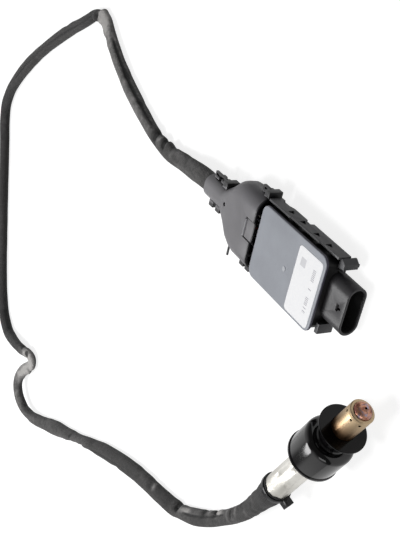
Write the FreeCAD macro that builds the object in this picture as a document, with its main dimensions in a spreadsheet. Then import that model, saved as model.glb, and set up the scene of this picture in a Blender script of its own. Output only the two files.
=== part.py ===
import FreeCAD, Part
import math
import os

# A vehicle nitrogen oxide sensor: a flat control unit with a cable outlet hood, a cable in a limp
# dark sleeve, and a probe whose hexagon and thread are covered by a black spool-shaped cap.
# Frame: millimetres, +Z up, the origin under the middle of the lid on the unit's flat underside,
# +Y from the connector towards the cable outlet, +X to the unit's right.

App = FreeCAD
doc = App.newDocument("NitrogenOxideSensor")

# The driving dimensions. Each name is an alias in the sheet.
SIZES = dict(
    # lid, a pressed pan
    lid_width=51.0, lid_length=72.4, lid_top=20.5, lid_skirt=1.6, lid_sheet=1.0,
    lid_corner=6.0, lid_edge=0.9, pip_radius=1.6, pip_rise=0.25, pip_x=-1.8, pip_y=0.7,
    # label
    label_length=25.0, label_thick=0.15, label_corner=2.5, label_x=-1.4,
    # tray: a wide upper box with a narrower box under it
    tray_wall=1.8, tray_corner=5.0, belly_floor=1.8, belly_corner=4.0, board_corner=2.0,
    # connector shroud
    mouth_inset=3.5, mouth_height=13.6, mouth_wall=1.6, mouth_level=7.6, mouth_out=19.6,
    mouth_depth=16.0, catch_width=4.4, catch_length=2.2,
    # connector pins
    pin_width=1.5, pin_thick=0.8, pin_pitch=4.0, pin_gap=0.1,
    # gasket and board
    gasket_width=1.4, gasket_inset=0.2, gasket_thick=0.7, board_thick=1.6,
    chip_side=14.0, chip_thick=1.6, driver_side=8.0, driver_thick=1.4, can_radius=3.1,
    terminal_width=2.0, terminal_length=4.0, terminal_tall=2.6,
    # carrier frame
    rail_thick=1.4, plate_thick=1.4, rail_low_front=6.8, rail_low_rear=7.8, rail_notch=10.2,
    rail_top_rear=17.2, rail_top_mid=16.5, rail_top_front=15.8, left_rail_top=15.0,
    arrow_level=12.6, arrow_tall=4.4, arrow_long=4.6, finger_low=3.4, finger_top=13.8,
    # hood: a straight length behind the lid, a fall, then the neck
    hood_low=1.5, hood_rise=1.5, hood_wall=1.6, hood_gap=3.4, hood_straight=20.4, hood_fall=30.0,
    neck_level=10.4, neck_wall=1.1, neck_overlap=8.0, neck_length=22.5,
    tongue_width=13.0, tongue_reach=1.1, tongue_length=9.6, tongue_x=1.7, tongue_sink=0.5,
    tongue_groove=0.9, hood_hole=1.5, peg_radius=0.8, peg_out=5.4,
    # rubber parts of the unit
    seal_width=26.0, seal_height=3.4, seal_lip=1.4,
    collar_gap=0.1, collar_inset=5.0, collar_length=6.5,
    # wires
    wire_radius=0.8, wire_pitch=3.0, wire_count=8, wire_gap=0.05, wire_run=11.5,
    # cable sleeve, and how far it runs straight at its two ends
    sleeve_radius=6.0, sleeve_out=17.5, sleeve_in=20.0,
    # probe, measured along its own axis from the front face of the cap's flange
    probe_x=-57.9, probe_y=-85.2, probe_turn=-26.55, lip_radius=17.05, lip_thick=1.2,
    skirt_radius=16.4, skirt_back=37.6, skirt_front=17.0, cap_wall=1.5, waist_radius=9.7,
    waist_back=12.8, waist_front=4.6, cap_seat=14.8, flange_radius=15.6, flange_thick=1.1, cap_bore=8.1,
    sheath_radius=8.9, sheath_wall=0.8, sheath_back=91.0, dimple_radius=7.0, dimple_depth=0.45,
    hex_flats=22.0, hex_back=36.5, hex_front=28.5, thread_radius=10.0, thread_front=16.0,
    thread_step=1.5, thread_depth=0.8, relief_radius=9.0, washer_radius=13.0, washer_thick=2.0,
    body_back=48.0, nose_radius=7.3, nose_front=11.0, bore_radius=5.0, bore_front=22.0,
    throat_radius=3.6,
    outer_radius=7.86, outer_wall=0.5, outer_back=15.0, outer_front=22.2, rim_radius=6.05,
    bead_at=20.2, bead_depth=0.35, side_hole_radius=0.85, side_hole_at=18.5, side_hole_first=19.0,
    inner_radius=5.9, inner_wall=0.4, dome_front=25.9, centre_hole_radius=0.85,
    strip_width=4.2, strip_thick=1.4, strip_front=12.0, strip_gap=0.1, plug_circle=4.7,
    tie_thick=1.2, tie_inset=0.8, tie_width=3.5, tie_head_width=5.8,
    tie_head_tall=4.8, tie_head_angle=-163.0,
)

# Dimensions that follow from others, so that pieces which meet stay together.
TIED = dict(
    label_width="lid_width - 6.6", label_y="-lid_length / 2 + 15",
    # the tray stands just inside the lid's rim, and its lower box just inside that
    tray_width="lid_width - 2 * lid_sheet", tray_length="lid_length - 2 * lid_sheet - 1.2",
    belly_width="tray_width - 10", belly_length="tray_length - 7.2",
    tray_top="lid_top - lid_sheet - gasket_thick", shoulder_level="lid_top * 0.45",
    board_level="shoulder_level + 1.6", can_tall="tray_top - board_level - board_thick - 0.6",
    board_width="tray_width - 2 * tray_wall - 1",
    board_length="tray_length - 2 * tray_wall - 1.6",
    # the wires and the pins meet the board's upper face
    seal_level="board_level + board_thick + 1.8", seal_lip_top="seal_level + 2",
    pin_top="board_level + board_thick + 1",
    # the shroud stands out from the tray, and its pins end inside it
    mouth_width="belly_width - 2 * mouth_inset", mouth_reach="tray_length / 2 + mouth_out",
    catch_y="-mouth_reach + 6.6", pin_front="mouth_reach - mouth_depth / 2",
    pin_back="belly_length / 2 - tray_wall - 2.6", terminal_front="tray_length / 2 - 11.6",
    # the carrier goes round the tray and reaches back into the hood
    rail_outer="lid_width / 2 + 2.5", rail_front="tray_length / 2 + 4",
    rail_back="lid_length / 2 - 0.2", bridge_back="rail_back + 6",
    plate_inner="belly_width / 2 + 0.4", bridge_half="belly_width / 2 + 0.5",
    left_rail_front="-rail_front + 14.6", shroud_side="mouth_width / 2 + 1",
    # the hood starts behind the lid and falls to the neck
    hood_front="lid_length / 2 + hood_gap", hood_half="rail_outer - 1.8",
    hood_top="lid_top + hood_rise", peg_reach="hood_half + peg_out",
    peg_level="hood_split + (hood_top - hood_split) * 0.46",
    hood_split="shoulder_level - 0.2", hood_shoulder="hood_front + hood_straight",
    hood_under="(hood_top - hood_low) * 0.39", hood_edge="(hood_top - hood_low) * 0.512",
    hood_throat="hood_shoulder + hood_fall", peg_y="hood_shoulder + hood_fall / 3",
    neck_start="hood_throat - neck_overlap", neck_end="hood_throat + neck_length",
    # the neck closes round the cable's sleeve
    neck_height="2 * (sleeve_radius + neck_wall + 0.1)", neck_width="neck_height + 2.6",
    neck_corner="neck_height / 2 - 0.2",
    seal_back="tray_length / 2 + 2.8", collar_back="neck_end - collar_inset",
    collar_front="collar_back - collar_length",
    collar_pitch="(neck_width - 2 * neck_wall) / 5.5",
    collar_rows="(neck_height - 2 * neck_wall) / 3.05",
    # along the probe's rear, behind its steel body: dimples, holder, strip's end and plug
    sheath_free="sheath_back - body_back", dimple_front="body_back + sheath_free * 0.093",
    dimple_rear="body_back + sheath_free * 0.465", holder_front="body_back + sheath_free * 0.233",
    holder_back="body_back + sheath_free * 0.558", plug_front="body_back + sheath_free * 0.744",
    strip_back="(holder_front + holder_back) / 2",
    tie_back="sheath_back - tie_inset", tie_front="tie_back - tie_width",
    tie_inner="sheath_radius + 0.15",
)

sheet = doc.addObject("Spreadsheet::Sheet", "Dims")
for row, (name, value) in enumerate(SIZES.items(), start=1):
    sheet.set("A%d" % row, name)
    sheet.set("B%d" % row, repr(value))
    sheet.setAlias("B%d" % row, name)
for row, (name, text) in enumerate(TIED.items(), start=len(SIZES) + 1):
    sheet.set("A%d" % row, name)
    sheet.set("B%d" % row, "=" + text)
    sheet.setAlias("B%d" % row, name)
doc.recompute()


def size(name):
    """The value of one named dimension."""
    return float(getattr(sheet, name))


def named(text):
    """An expression with each dimension's name pointed at the sheet."""
    out = []
    word = ""
    for ch in str(text) + " ":
        if ch.isalnum() or ch == "_":
            word += ch
            continue
        out.append("Dims." + word if word in SIZES or word in TIED else word)
        out.append(ch)
        word = ""
    return "".join(out).strip()


def number(text):
    """The value of an expression in the named dimensions."""
    got = sheet.evalExpression(named(text))
    return float(getattr(got, "Value", got))


def bind(obj, prop, text):
    obj.setExpression(prop, named(text))


FINAL = []


def final(obj, label):
    """Marks a finished piece; its label names its file."""
    obj.Label = label
    FINAL.append(obj)
    return obj


# Part design helpers.

def new_body(name):
    return doc.addObject("PartDesign::Body", name)


def plane_of(body, role):
    for feature in body.Origin.OriginFeatures:
        if feature.Role == role:
            return feature
    raise ValueError(role)


def new_sketch(body, role, at="0"):
    """A sketch on one of the body's origin planes, moved along the axis that the plane faces."""
    sk = body.newObject("Sketcher::SketchObject", body.Name + "Sketch")
    sk.AttachmentSupport = [(plane_of(body, role), "")]
    sk.MapMode = "FlatFace"
    sign = "-1" if role == "XZ_Plane" else "1"
    bind(sk, ".AttachmentOffset.Base.z", "%s * (%s)" % (sign, at))
    return sk


def polygon(sk, points):
    """A closed outline whose corners are pairs of expressions."""
    xy = [(number(px), number(py)) for px, py in points]
    vec = [App.Vector(px, py, 0) for px, py in xy]
    count = len(vec)
    lines = [Part.LineSegment(vec[i], vec[(i + 1) % count]) for i in range(count)]
    first = sk.addGeometry(lines, False)[0]
    for i in range(count):
        sk.addConstraint(Sketcher.Constraint("Coincident", first + i, 2, first + (i + 1) % count, 1))
    for i, (px, py) in enumerate(points):
        for kind, text, value in (("DistanceX", px, xy[i][0]), ("DistanceY", py, xy[i][1])):
            n = sk.addConstraint(Sketcher.Constraint(kind, -1, 1, first + i, 1, value))
            bind(sk, "Constraints[%d]" % n, text)


def box_outline(sk, x0, x1, y0, y1):
    polygon(sk, [(x0, y0), (x1, y0), (x1, y1), (x0, y1)])


def rounded(sk, x0, x1, y0, y1, low, high=None):
    """A box outline with rounded corners: one radius below, one above."""
    high = high or low
    spots = [("(%s) - (%s)" % (x1, high), "(%s) - (%s)" % (y1, high), high, 0),
             ("(%s) + (%s)" % (x0, high), "(%s) - (%s)" % (y1, high), high, 90),
             ("(%s) + (%s)" % (x0, low), "(%s) + (%s)" % (y0, low), low, 180),
             ("(%s) - (%s)" % (x1, low), "(%s) + (%s)" % (y0, low), low, 270)]
    arcs = []
    for cx, cy, radius, start in spots:
        circle = Part.Circle(App.Vector(number(cx), number(cy), 0), App.Vector(0, 0, 1),
                             number(radius))
        arcs.append(Part.ArcOfCircle(circle, math.radians(start), math.radians(start + 90)))
    edges = []
    for i, arc in enumerate(arcs):
        edges += [arc, Part.LineSegment(arc.EndPoint, arcs[(i + 1) % 4].StartPoint)]
    first = sk.addGeometry(edges, False)[0]
    for i in range(8):
        sk.addConstraint(Sketcher.Constraint("Tangent", first + i, 2, first + (i + 1) % 8, 1))
    for i, (cx, cy, radius, _) in enumerate(spots):
        g = first + 2 * i
        for kind, text in (("DistanceX", cx), ("DistanceY", cy)):
            n = sk.addConstraint(Sketcher.Constraint(kind, -1, 1, g, 3, number(text)))
            bind(sk, "Constraints[%d]" % n, text)
        n = sk.addConstraint(Sketcher.Constraint("Radius", g, number(radius)))
        bind(sk, "Constraints[%d]" % n, radius)


def stadium(sk, width, height, cx, cy):
    """An outline with straight long sides and half-round ends."""
    radius, half = number(height) / 2, (number(width) - number(height)) / 2
    x0, y0 = number(cx), number(cy)
    v = App.Vector
    top = Part.LineSegment(v(x0 + half, y0 + radius, 0), v(x0 - half, y0 + radius, 0))
    low = Part.LineSegment(v(x0 - half, y0 - radius, 0), v(x0 + half, y0 - radius, 0))
    z = v(0, 0, 1)
    left = Part.ArcOfCircle(Part.Circle(v(x0 - half, y0, 0), z, radius), math.pi / 2, 1.5 * math.pi)
    right = Part.ArcOfCircle(Part.Circle(v(x0 + half, y0, 0), z, radius), -math.pi / 2, math.pi / 2)
    a = sk.addGeometry([top, left, low, right], False)[0]
    for i in range(4):
        sk.addConstraint(Sketcher.Constraint("Tangent", a + i, 2, a + (i + 1) % 4, 1))
    sk.addConstraint(Sketcher.Constraint("Horizontal", a))
    for geo, text in ((a + 1, "(%s) - ((%s) - (%s)) / 2" % (cx, width, height)),
                      (a + 3, "(%s) + ((%s) - (%s)) / 2" % (cx, width, height))):
        n = sk.addConstraint(Sketcher.Constraint("DistanceX", -1, 1, geo, 3, number(text)))
        bind(sk, "Constraints[%d]" % n, text)
    n = sk.addConstraint(Sketcher.Constraint("DistanceY", -1, 1, a + 1, 3, y0))
    bind(sk, "Constraints[%d]" % n, cy)
    n = sk.addConstraint(Sketcher.Constraint("Radius", a + 1, radius))
    bind(sk, "Constraints[%d]" % n, "(%s) / 2" % height)


def disc(sk, cx, cy, radius):
    circle = Part.Circle(App.Vector(number(cx), number(cy), 0), App.Vector(0, 0, 1), number(radius))
    g = sk.addGeometry(circle, False)
    for kind, text in (("DistanceX", cx), ("DistanceY", cy)):
        n = sk.addConstraint(Sketcher.Constraint(kind, -1, 1, g, 3, number(text)))
        bind(sk, "Constraints[%d]" % n, text)
    n = sk.addConstraint(Sketcher.Constraint("Radius", g, number(radius)))
    bind(sk, "Constraints[%d]" % n, radius)


def extrude(body, kind, sk, length, forward=True):
    """A pad or pocket along the plane's own axis (+Z, +X or +Y), or against it."""
    f = body.newObject("PartDesign::" + kind, body.Name + kind)
    f.Profile = sk
    sk.Visibility = False
    bind(f, "Length", length)
    faces_back = sk.AttachmentSupport[0][0].Role == "XZ_Plane"
    cuts = kind == "Pocket"
    f.Reversed = (forward == faces_back) != cuts
    doc.recompute()
    return f


def turn(body, sk, kind="Revolution"):
    """A full turn about the horizontal axis of the sketch."""
    f = body.newObject("PartDesign::" + kind, body.Name + kind)
    f.Profile = sk
    f.ReferenceAxis = (sk, ["H_Axis"])
    f.Angle = 360
    sk.Visibility = False
    doc.recompute()
    return f


def dress(body, kind, pick, text):
    """A fillet or chamfer on the edges of the body's last feature that pick accepts."""
    base = body.Tip
    names = ["Edge%d" % (i + 1) for i, e in enumerate(base.Shape.Edges) if pick(e)]
    if not names:
        raise ValueError("no edge to dress on " + body.Name)
    f = body.newObject("PartDesign::" + kind, body.Name + kind)
    f.Base = (base, names)
    bind(f, "Radius" if kind == "Fillet" else "Size", text)
    doc.recompute()
    return f


def upright(e):
    """A vertical straight edge."""
    ends = [p.Point for p in e.Vertexes]
    return len(ends) == 2 and abs(ends[0].x - ends[1].x) + abs(ends[0].y - ends[1].y) < 1e-4


def all_at(level):
    """Every point of the edge lies at one height."""
    z = number(level)
    return lambda e: abs(e.BoundBox.ZMin - z) + abs(e.BoundBox.ZMax - z) < 1e-3


def block(name, x0, x1, y0, y1, z0, z1):
    """A plain box between named limits."""
    b = doc.addObject("Part::Box", name)
    for prop, low, high in (("Length", x0, x1), ("Width", y0, y1), ("Height", z0, z1)):
        bind(b, prop, "(%s) - (%s)" % (high, low))
    for axis, low in (("x", x0), ("y", y0), ("z", z0)):
        bind(b, ".Placement.Base." + axis, low)
    return b


def combine(kind, name, base, tools):
    """A boolean of whole objects: Cut, Common or MultiFuse."""
    if kind == "MultiFuse":
        f = doc.addObject("Part::MultiFuse", name)
        f.Shapes = [base] + tools
    else:
        f = doc.addObject("Part::" + kind, name)
        f.Base = base
        f.Tool = tools[0]
    doc.recompute()
    return f


def solid_from(name, shape):
    """A piece whose shape is worked out below from the named sizes."""
    f = doc.addObject("Part::Feature", name)
    f.Shape = shape
    return f


import Sketcher

V = App.Vector


# Control unit: the lid.
def make_lid():
    b = new_body("Lid")
    sk = new_sketch(b, "XY_Plane", "lid_top - lid_skirt")
    rounded(sk, "-lid_width / 2", "lid_width / 2", "-lid_length / 2", "lid_length / 2",
            "lid_corner")
    extrude(b, "Pad", sk, "lid_skirt")
    dress(b, "Fillet", all_at("lid_top"), "lid_edge")
    sk = new_sketch(b, "XY_Plane", "lid_top - lid_skirt")
    rounded(sk, "-lid_width / 2 + lid_sheet", "lid_width / 2 - lid_sheet",
            "-lid_length / 2 + lid_sheet", "lid_length / 2 - lid_sheet", "lid_corner - lid_sheet")
    extrude(b, "Pocket", sk, "lid_skirt - lid_sheet")
    sk = new_sketch(b, "XY_Plane", "lid_top - 0.1")
    disc(sk, "pip_x", "pip_y", "pip_radius")
    extrude(b, "Pad", sk, "pip_rise + 0.1")
    return final(b, "unit_lid")


make_lid()


# The rated sticker on the lid's connector end.
def make_label():
    b = new_body("Label")
    sk = new_sketch(b, "XY_Plane", "lid_top")
    rounded(sk, "label_x - label_width / 2", "label_x + label_width / 2",
            "label_y - label_length / 2", "label_y + label_length / 2", "label_corner")
    extrude(b, "Pad", sk, "label_thick")
    return final(b, "rating_label")


make_label()


# The tray: moulded in one piece with the connector shroud.
def make_tray():
    b = new_body("Tray")
    sk = new_sketch(b, "XY_Plane", "shoulder_level")
    rounded(sk, "-tray_width / 2", "tray_width / 2", "-tray_length / 2", "tray_length / 2",
            "tray_corner")
    extrude(b, "Pad", sk, "tray_top - shoulder_level")
    sk = new_sketch(b, "XY_Plane", "0")
    rounded(sk, "-belly_width / 2", "belly_width / 2", "-belly_length / 2", "belly_length / 2",
            "belly_corner")
    extrude(b, "Pad", sk, "shoulder_level + 0.5")
    dress(b, "Chamfer", all_at("0"), "0.6")
    # the shroud and the block behind it that holds the pins
    sk = new_sketch(b, "XZ_Plane", "-mouth_reach")
    stadium(sk, "mouth_width", "mouth_height", "0", "mouth_level")
    extrude(b, "Pad", sk, "mouth_reach - belly_length / 2 + 0.5")
    # the hollow for the board, with the ledge that carries it, and the hollow under the board
    sk = new_sketch(b, "XY_Plane", "board_level")
    rounded(sk, "-tray_width / 2 + tray_wall", "tray_width / 2 - tray_wall",
            "-tray_length / 2 + tray_wall", "tray_length / 2 - tray_wall",
            "tray_corner - tray_wall")
    extrude(b, "Pocket", sk, "tray_top - board_level + 1")
    sk = new_sketch(b, "XY_Plane", "belly_floor")
    rounded(sk, "-belly_width / 2 + tray_wall", "belly_width / 2 - tray_wall",
            "-belly_length / 2 + tray_wall", "belly_length / 2 - tray_wall",
            "belly_corner - tray_wall")
    extrude(b, "Pocket", sk, "board_level - belly_floor + 1")
    # the shroud's mouth
    sk = new_sketch(b, "XZ_Plane", "-mouth_reach")
    stadium(sk, "mouth_width - 2 * mouth_wall", "mouth_height - 2 * mouth_wall", "0", "mouth_level")
    extrude(b, "Pocket", sk, "mouth_depth")
    # slots for the five pins
    for i in range(5):
        mid = "(%d) * pin_pitch" % (i - 2)
        sk = new_sketch(b, "XZ_Plane", "-mouth_reach + mouth_depth - 1")
        box_outline(sk, mid + " - pin_width / 2 - pin_gap", mid + " + pin_width / 2 + pin_gap",
                    "mouth_level - pin_thick / 2 - pin_gap", "mouth_level + pin_thick / 2 + pin_gap")
        extrude(b, "Pocket", sk, "mouth_reach - mouth_depth - belly_length / 2 + tray_wall + 2")
    # the window in the shroud's top that a plug's latch drops into, with its ridge
    sk = new_sketch(b, "XY_Plane", "mouth_level + mouth_height / 2 - mouth_wall - 0.5")
    box_outline(sk, "-catch_width / 2", "catch_width / 2",
                "catch_y - catch_length / 2", "catch_y + catch_length / 2")
    extrude(b, "Pocket", sk, "mouth_wall + 1")
    sk = new_sketch(b, "XY_Plane", "mouth_level + mouth_height / 2 - mouth_wall - 0.5")
    box_outline(sk, "-0.7", "0.7", "catch_y - catch_length / 2 - 1.9", "catch_y")
    extrude(b, "Pocket", sk, "mouth_wall + 1")
    # the port for the wires in the rear wall
    sk = new_sketch(b, "XZ_Plane", "tray_length / 2 - tray_wall - 1")
    box_outline(sk, "-seal_width / 2", "seal_width / 2",
                "seal_level - seal_height / 2", "seal_level + seal_height / 2")
    extrude(b, "Pocket", sk, "tray_wall + 2")
    return final(b, "housing_tray")


make_tray()


# The soft gasket on the tray's rim, squeezed under the lid.
def make_gasket():
    b = new_body("Gasket")
    sk = new_sketch(b, "XY_Plane", "tray_top")
    rounded(sk, "-tray_width / 2 + gasket_inset", "tray_width / 2 - gasket_inset",
            "-tray_length / 2 + gasket_inset", "tray_length / 2 - gasket_inset",
            "tray_corner - gasket_inset")
    extrude(b, "Pad", sk, "lid_top - lid_sheet - tray_top")
    sk = new_sketch(b, "XY_Plane", "tray_top - 1")
    rounded(sk, "-tray_width / 2 + gasket_inset + gasket_width",
            "tray_width / 2 - gasket_inset - gasket_width",
            "-tray_length / 2 + gasket_inset + gasket_width",
            "tray_length / 2 - gasket_inset - gasket_width",
            "tray_corner - gasket_inset - gasket_width")
    extrude(b, "Pocket", sk, "4")
    return final(b, "lid_gasket")


make_gasket()


# The circuit board on the tray's ledge, with slots for the pins.
def make_board():
    b = new_body("Board")
    sk = new_sketch(b, "XY_Plane", "board_level")
    rounded(sk, "-board_width / 2", "board_width / 2", "-board_length / 2", "board_length / 2",
            "board_corner")
    extrude(b, "Pad", sk, "board_thick")
    for i in range(5):
        mid = "(%d) * pin_pitch" % (i - 2)
        sk = new_sketch(b, "XY_Plane", "board_level - 1")
        box_outline(sk, mid + " - pin_width / 2 - pin_gap", mid + " + pin_width / 2 + pin_gap",
                    "-pin_back - pin_thick - pin_gap", "-pin_back + pin_gap")
        extrude(b, "Pocket", sk, "board_thick + 2")
    return final(b, "circuit_board")


make_board()


def make_chips():
    top = "board_level + board_thick"
    chips = [block("Processor", "-chip_side / 2", "chip_side / 2", "-12", "-12 + chip_side",
                   top, top + " + chip_thick")]
    for i, cx in enumerate(("-board_width * 0.338", "board_width * 0.338")):
        chips.append(block("Driver%d" % i, "(%s) - driver_side / 2" % cx,
                           "(%s) + driver_side / 2" % cx, "-20", "-20 + driver_side",
                           top, top + " + driver_thick"))
    group = doc.addObject("Part::Compound", "Chips")
    group.Links = chips
    return final(group, "board_chips")


make_chips()


def make_cans():
    cans = []
    side = "board_width * 0.349"
    for i, (cx, cy) in enumerate((("-" + side, 2), ("-" + side, 10.5), (side, 2), (side, 10.5))):
        can = doc.addObject("Part::Cylinder", "Can%d" % i)
        bind(can, "Radius", "can_radius")
        bind(can, "Height", "can_tall")
        bind(can, ".Placement.Base.x", cx)
        bind(can, ".Placement.Base.y", cy)
        bind(can, ".Placement.Base.z", "board_level + board_thick")
        cans.append(can)
    group = doc.addObject("Part::Compound", "Cans")
    group.Links = cans
    return final(group, "board_capacitors")


make_cans()


# Five blade pins: each lies in the shroud, passes the wall and turns up through the board.
def make_pin(i):
    b = new_body("Pin%d" % (i + 1))
    mid = "(%d) * pin_pitch" % (i - 2)
    sk = new_sketch(b, "YZ_Plane", mid + " - pin_width / 2")
    low, high = "mouth_level - pin_thick / 2", "mouth_level + pin_thick / 2"
    polygon(sk, [("-pin_front", low), ("-pin_back", low), ("-pin_back", "pin_top"),
                 ("-pin_back - pin_thick", "pin_top"), ("-pin_back - pin_thick", high),
                 ("-pin_front", high)])
    extrude(b, "Pad", sk, "pin_width")
    reach = -size("pin_front")
    dress(b, "Chamfer", lambda e: abs(e.BoundBox.YMax - reach) < 1e-3, "0.2")
    return final(b, "connector_pin_%d" % (i + 1))


for pin in range(5):
    make_pin(pin)


# The carrier frame round the tray: rails with arrow windows, front lugs and a latch finger.
def make_carrier():
    b = new_body("Carrier")
    inner = "rail_outer - rail_thick"
    plate = "shoulder_level - plate_thick"
    # the right rail, with its stepped edges
    sk = new_sketch(b, "YZ_Plane", inner)
    polygon(sk, [("-rail_front", "rail_low_front"), ("0.6", "rail_low_front"), ("1.4", "rail_notch"),
                 ("5.6", "rail_notch"), ("6.4", "rail_low_rear"), ("rail_back - 15", "rail_low_rear"),
                 ("rail_back - 7.5", "rail_notch"), ("rail_back - 4.5", "rail_notch"),
                 ("rail_back - 3.7", "rail_low_rear"), ("rail_back", "rail_low_rear"),
                 ("rail_back", "rail_top_rear"), ("12.2", "rail_top_rear"),
                 ("11.4", "rail_top_mid"), ("-rail_front + 19.4", "rail_top_mid"),
                 ("-rail_front + 18.6", "rail_top_front"), ("-rail_front", "rail_top_front")])
    extrude(b, "Pad", sk, "rail_thick")
    # the plate under the tray's shoulder, open at the front for the shroud
    sk = new_sketch(b, "XY_Plane", plate)
    edge = inner + " + 0.4"
    belly = "belly_length / 2"
    polygon(sk, [("-rail_outer + 4", "-%s - 5.4" % belly), ("-shroud_side", "-%s - 5.4" % belly),
                 ("-shroud_side", "-%s - 1.4" % belly), ("-plate_inner", "-%s - 0.4" % belly),
                 ("-plate_inner", belly + " + 0.4"), ("plate_inner", belly + " + 0.4"),
                 ("plate_inner", "-%s - 0.4" % belly), ("shroud_side", "-%s - 1.4" % belly),
                 ("shroud_side", "-rail_front"), (edge, "-rail_front"), (edge, "rail_back"),
                 ("bridge_half", "rail_back"), ("bridge_half", "bridge_back"),
                 ("-bridge_half", "bridge_back"), ("-bridge_half", "rail_back"),
                 ("-(%s)" % edge, "rail_back"), ("-(%s)" % edge, "left_rail_front"),
                 ("-rail_outer + 4", "left_rail_front - 3")])
    extrude(b, "Pad", sk, "plate_thick")
    # the lower left rail
    sk = new_sketch(b, "YZ_Plane", "-rail_outer")
    polygon(sk, [("left_rail_front", plate), ("rail_back", plate), ("rail_back", "left_rail_top"),
                 ("left_rail_front + 6", "left_rail_top"),
                 ("left_rail_front", "left_rail_top - 3")])
    extrude(b, "Pad", sk, "rail_thick")
    # the front corner blocks beside the shroud
    sk = new_sketch(b, "XY_Plane", "5.2")
    box_outline(sk, "-rail_outer + 4.4", "-shroud_side", "-rail_front - 0.8", "-rail_front + 2.2")
    extrude(b, "Pad", sk, "11")
    sk = new_sketch(b, "XY_Plane", "rail_low_front")
    box_outline(sk, "rail_outer - 7.4", edge, "-rail_front - 1", "-rail_front + 1.8")
    extrude(b, "Pad", sk, "finger_top - rail_low_front - 1")
    # the latch finger before the right block, its outer corner cut off, with a nib under it
    sk = new_sketch(b, "XY_Plane", "finger_low")
    polygon(sk, [("rail_outer - 6.2", "-rail_front - 0.4"), ("rail_outer - 6.2", "-rail_front - 4.4"),
                 ("rail_outer - 2.8", "-rail_front - 4.4"), ("rail_outer - 0.6", "-rail_front - 1.4"),
                 ("rail_outer - 0.6", "-rail_front - 0.4")])
    extrude(b, "Pad", sk, "finger_top - finger_low")
    sk = new_sketch(b, "XY_Plane", "finger_low - 1.4")
    box_outline(sk, "rail_outer - 5.4", "rail_outer - 3.4", "-rail_front - 3.6", "-rail_front - 1.6")
    extrude(b, "Pad", sk, "1.6")
    # tie the left block to its plate
    sk = new_sketch(b, "XY_Plane", plate)
    box_outline(sk, "-rail_outer + 4.4", "-shroud_side", "-%s - 5.9" % belly, "-%s - 4.4" % belly)
    extrude(b, "Pad", sk, "plate_thick")
    # arrow windows through the right rail
    for mid in ("-rail_front + 13.4", "-11.8", "3.3", "16.4"):
        sk = new_sketch(b, "YZ_Plane", inner + " - 1")
        polygon(sk, [("(%s) - arrow_long / 2" % mid, "arrow_level"),
                     ("(%s) + arrow_long / 2" % mid, "arrow_level - arrow_tall / 2"),
                     ("(%s) + arrow_long / 2" % mid, "arrow_level + arrow_tall / 2")])
        extrude(b, "Pocket", sk, "rail_thick + 2")
    return final(b, "carrier_frame")


make_carrier()


# The hood's form: sections along Y, alike up to the shoulder, then falling to the neck. It is made
# once for the outside and once, smaller by the wall, for the inside.
FALL = [
    # how far each section is on the way to the neck: along Y, in width, underside and top
    (0.2, 0.045, 0.0, 0.14), (0.4, 0.20, 0.06, 0.30), (0.633, 0.588, 0.3, 0.52),
    (0.833, 0.836, 0.6, 0.73), (1.0, 1.0, 1.0, 1.0),
]


def between(start, end, part):
    """An expression for a value part of the way from one to another."""
    return "(%s) * %g + (%s) * %g" % (start, 1 - part, end, part)


# along Y, half width, underside, top, lower corner, upper corner
SECTIONS = [(at, "hood_half", "hood_low", "hood_top", "hood_under", "hood_edge")
            for at in ("hood_front", "hood_shoulder")]
for along, narrow, rise, drop in FALL:
    SECTIONS.append((between("hood_shoulder", "hood_throat", along),
                     between("hood_half", "neck_width / 2", narrow),
                     between("hood_low", "neck_level - neck_height / 2", rise),
                     between("hood_top", "neck_level + neck_height / 2", drop),
                     between("hood_under", "neck_corner", narrow),
                     between("hood_edge", "neck_corner", narrow)))


def hood_form(name, inset):
    b = new_body(name)
    profiles = []
    for i, (along, half, low, top, under, edge) in enumerate(SECTIONS):
        back = "0" if i == 0 else "(%s) * 0.45" % inset
        start = "(%s) - 1" % along if i == 0 and inset != "0" else "(%s) - %s" % (along, back)
        sk = new_sketch(b, "XZ_Plane", start)
        wide = "(%s) - (%s)" % (half, inset)
        rounded(sk, "-(%s)" % wide, wide, "(%s) + (%s)" % (low, inset), "(%s) - (%s)" % (top, inset),
                "(%s) - (%s)" % (under, inset), "(%s) - (%s)" % (edge, inset))
        sk.Visibility = False
        profiles.append(sk)
    loft = b.newObject("PartDesign::AdditiveLoft", name + "Loft")
    loft.Profile = profiles[0]
    loft.Sections = profiles[1:]
    loft.Ruled = True
    doc.recompute()
    return b


def neck_outline(sk, inset):
    wide, tall = "neck_width / 2 - (%s)" % inset, "neck_height / 2 - (%s)" % inset
    corner = "neck_corner - (%s)" % inset
    rounded(sk, "-(%s)" % wide, wide, "neck_level - (%s)" % tall, "neck_level + (%s)" % tall,
            corner, corner)


def make_neck(name, inset, y0, y1):
    b = new_body(name)
    sk = new_sketch(b, "XZ_Plane", y0)
    neck_outline(sk, inset)
    extrude(b, "Pad", sk, "(%s) - (%s)" % (y1, y0))
    return b


hood_outer = hood_form("HoodOuter", "0")
hood_inner = hood_form("HoodInner", "hood_wall")
neck_outer = make_neck("NeckOuter", "0", "neck_start", "neck_end")
neck_inner = make_neck("NeckInner", "neck_wall", "neck_start - 4", "neck_end + 1")
shell_out = combine("MultiFuse", "HoodSolid", hood_outer, [neck_outer])
shell_in = combine("MultiFuse", "HoodHollow", hood_inner, [neck_inner])
shell = combine("Cut", "HoodShell", shell_out, [shell_in])


def half_shell(name, z0, z1):
    keep = block(name + "Half", "-50", "50", "30", "130", z0, z1)
    return combine("Common", name + "Shell", shell, [keep])


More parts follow.
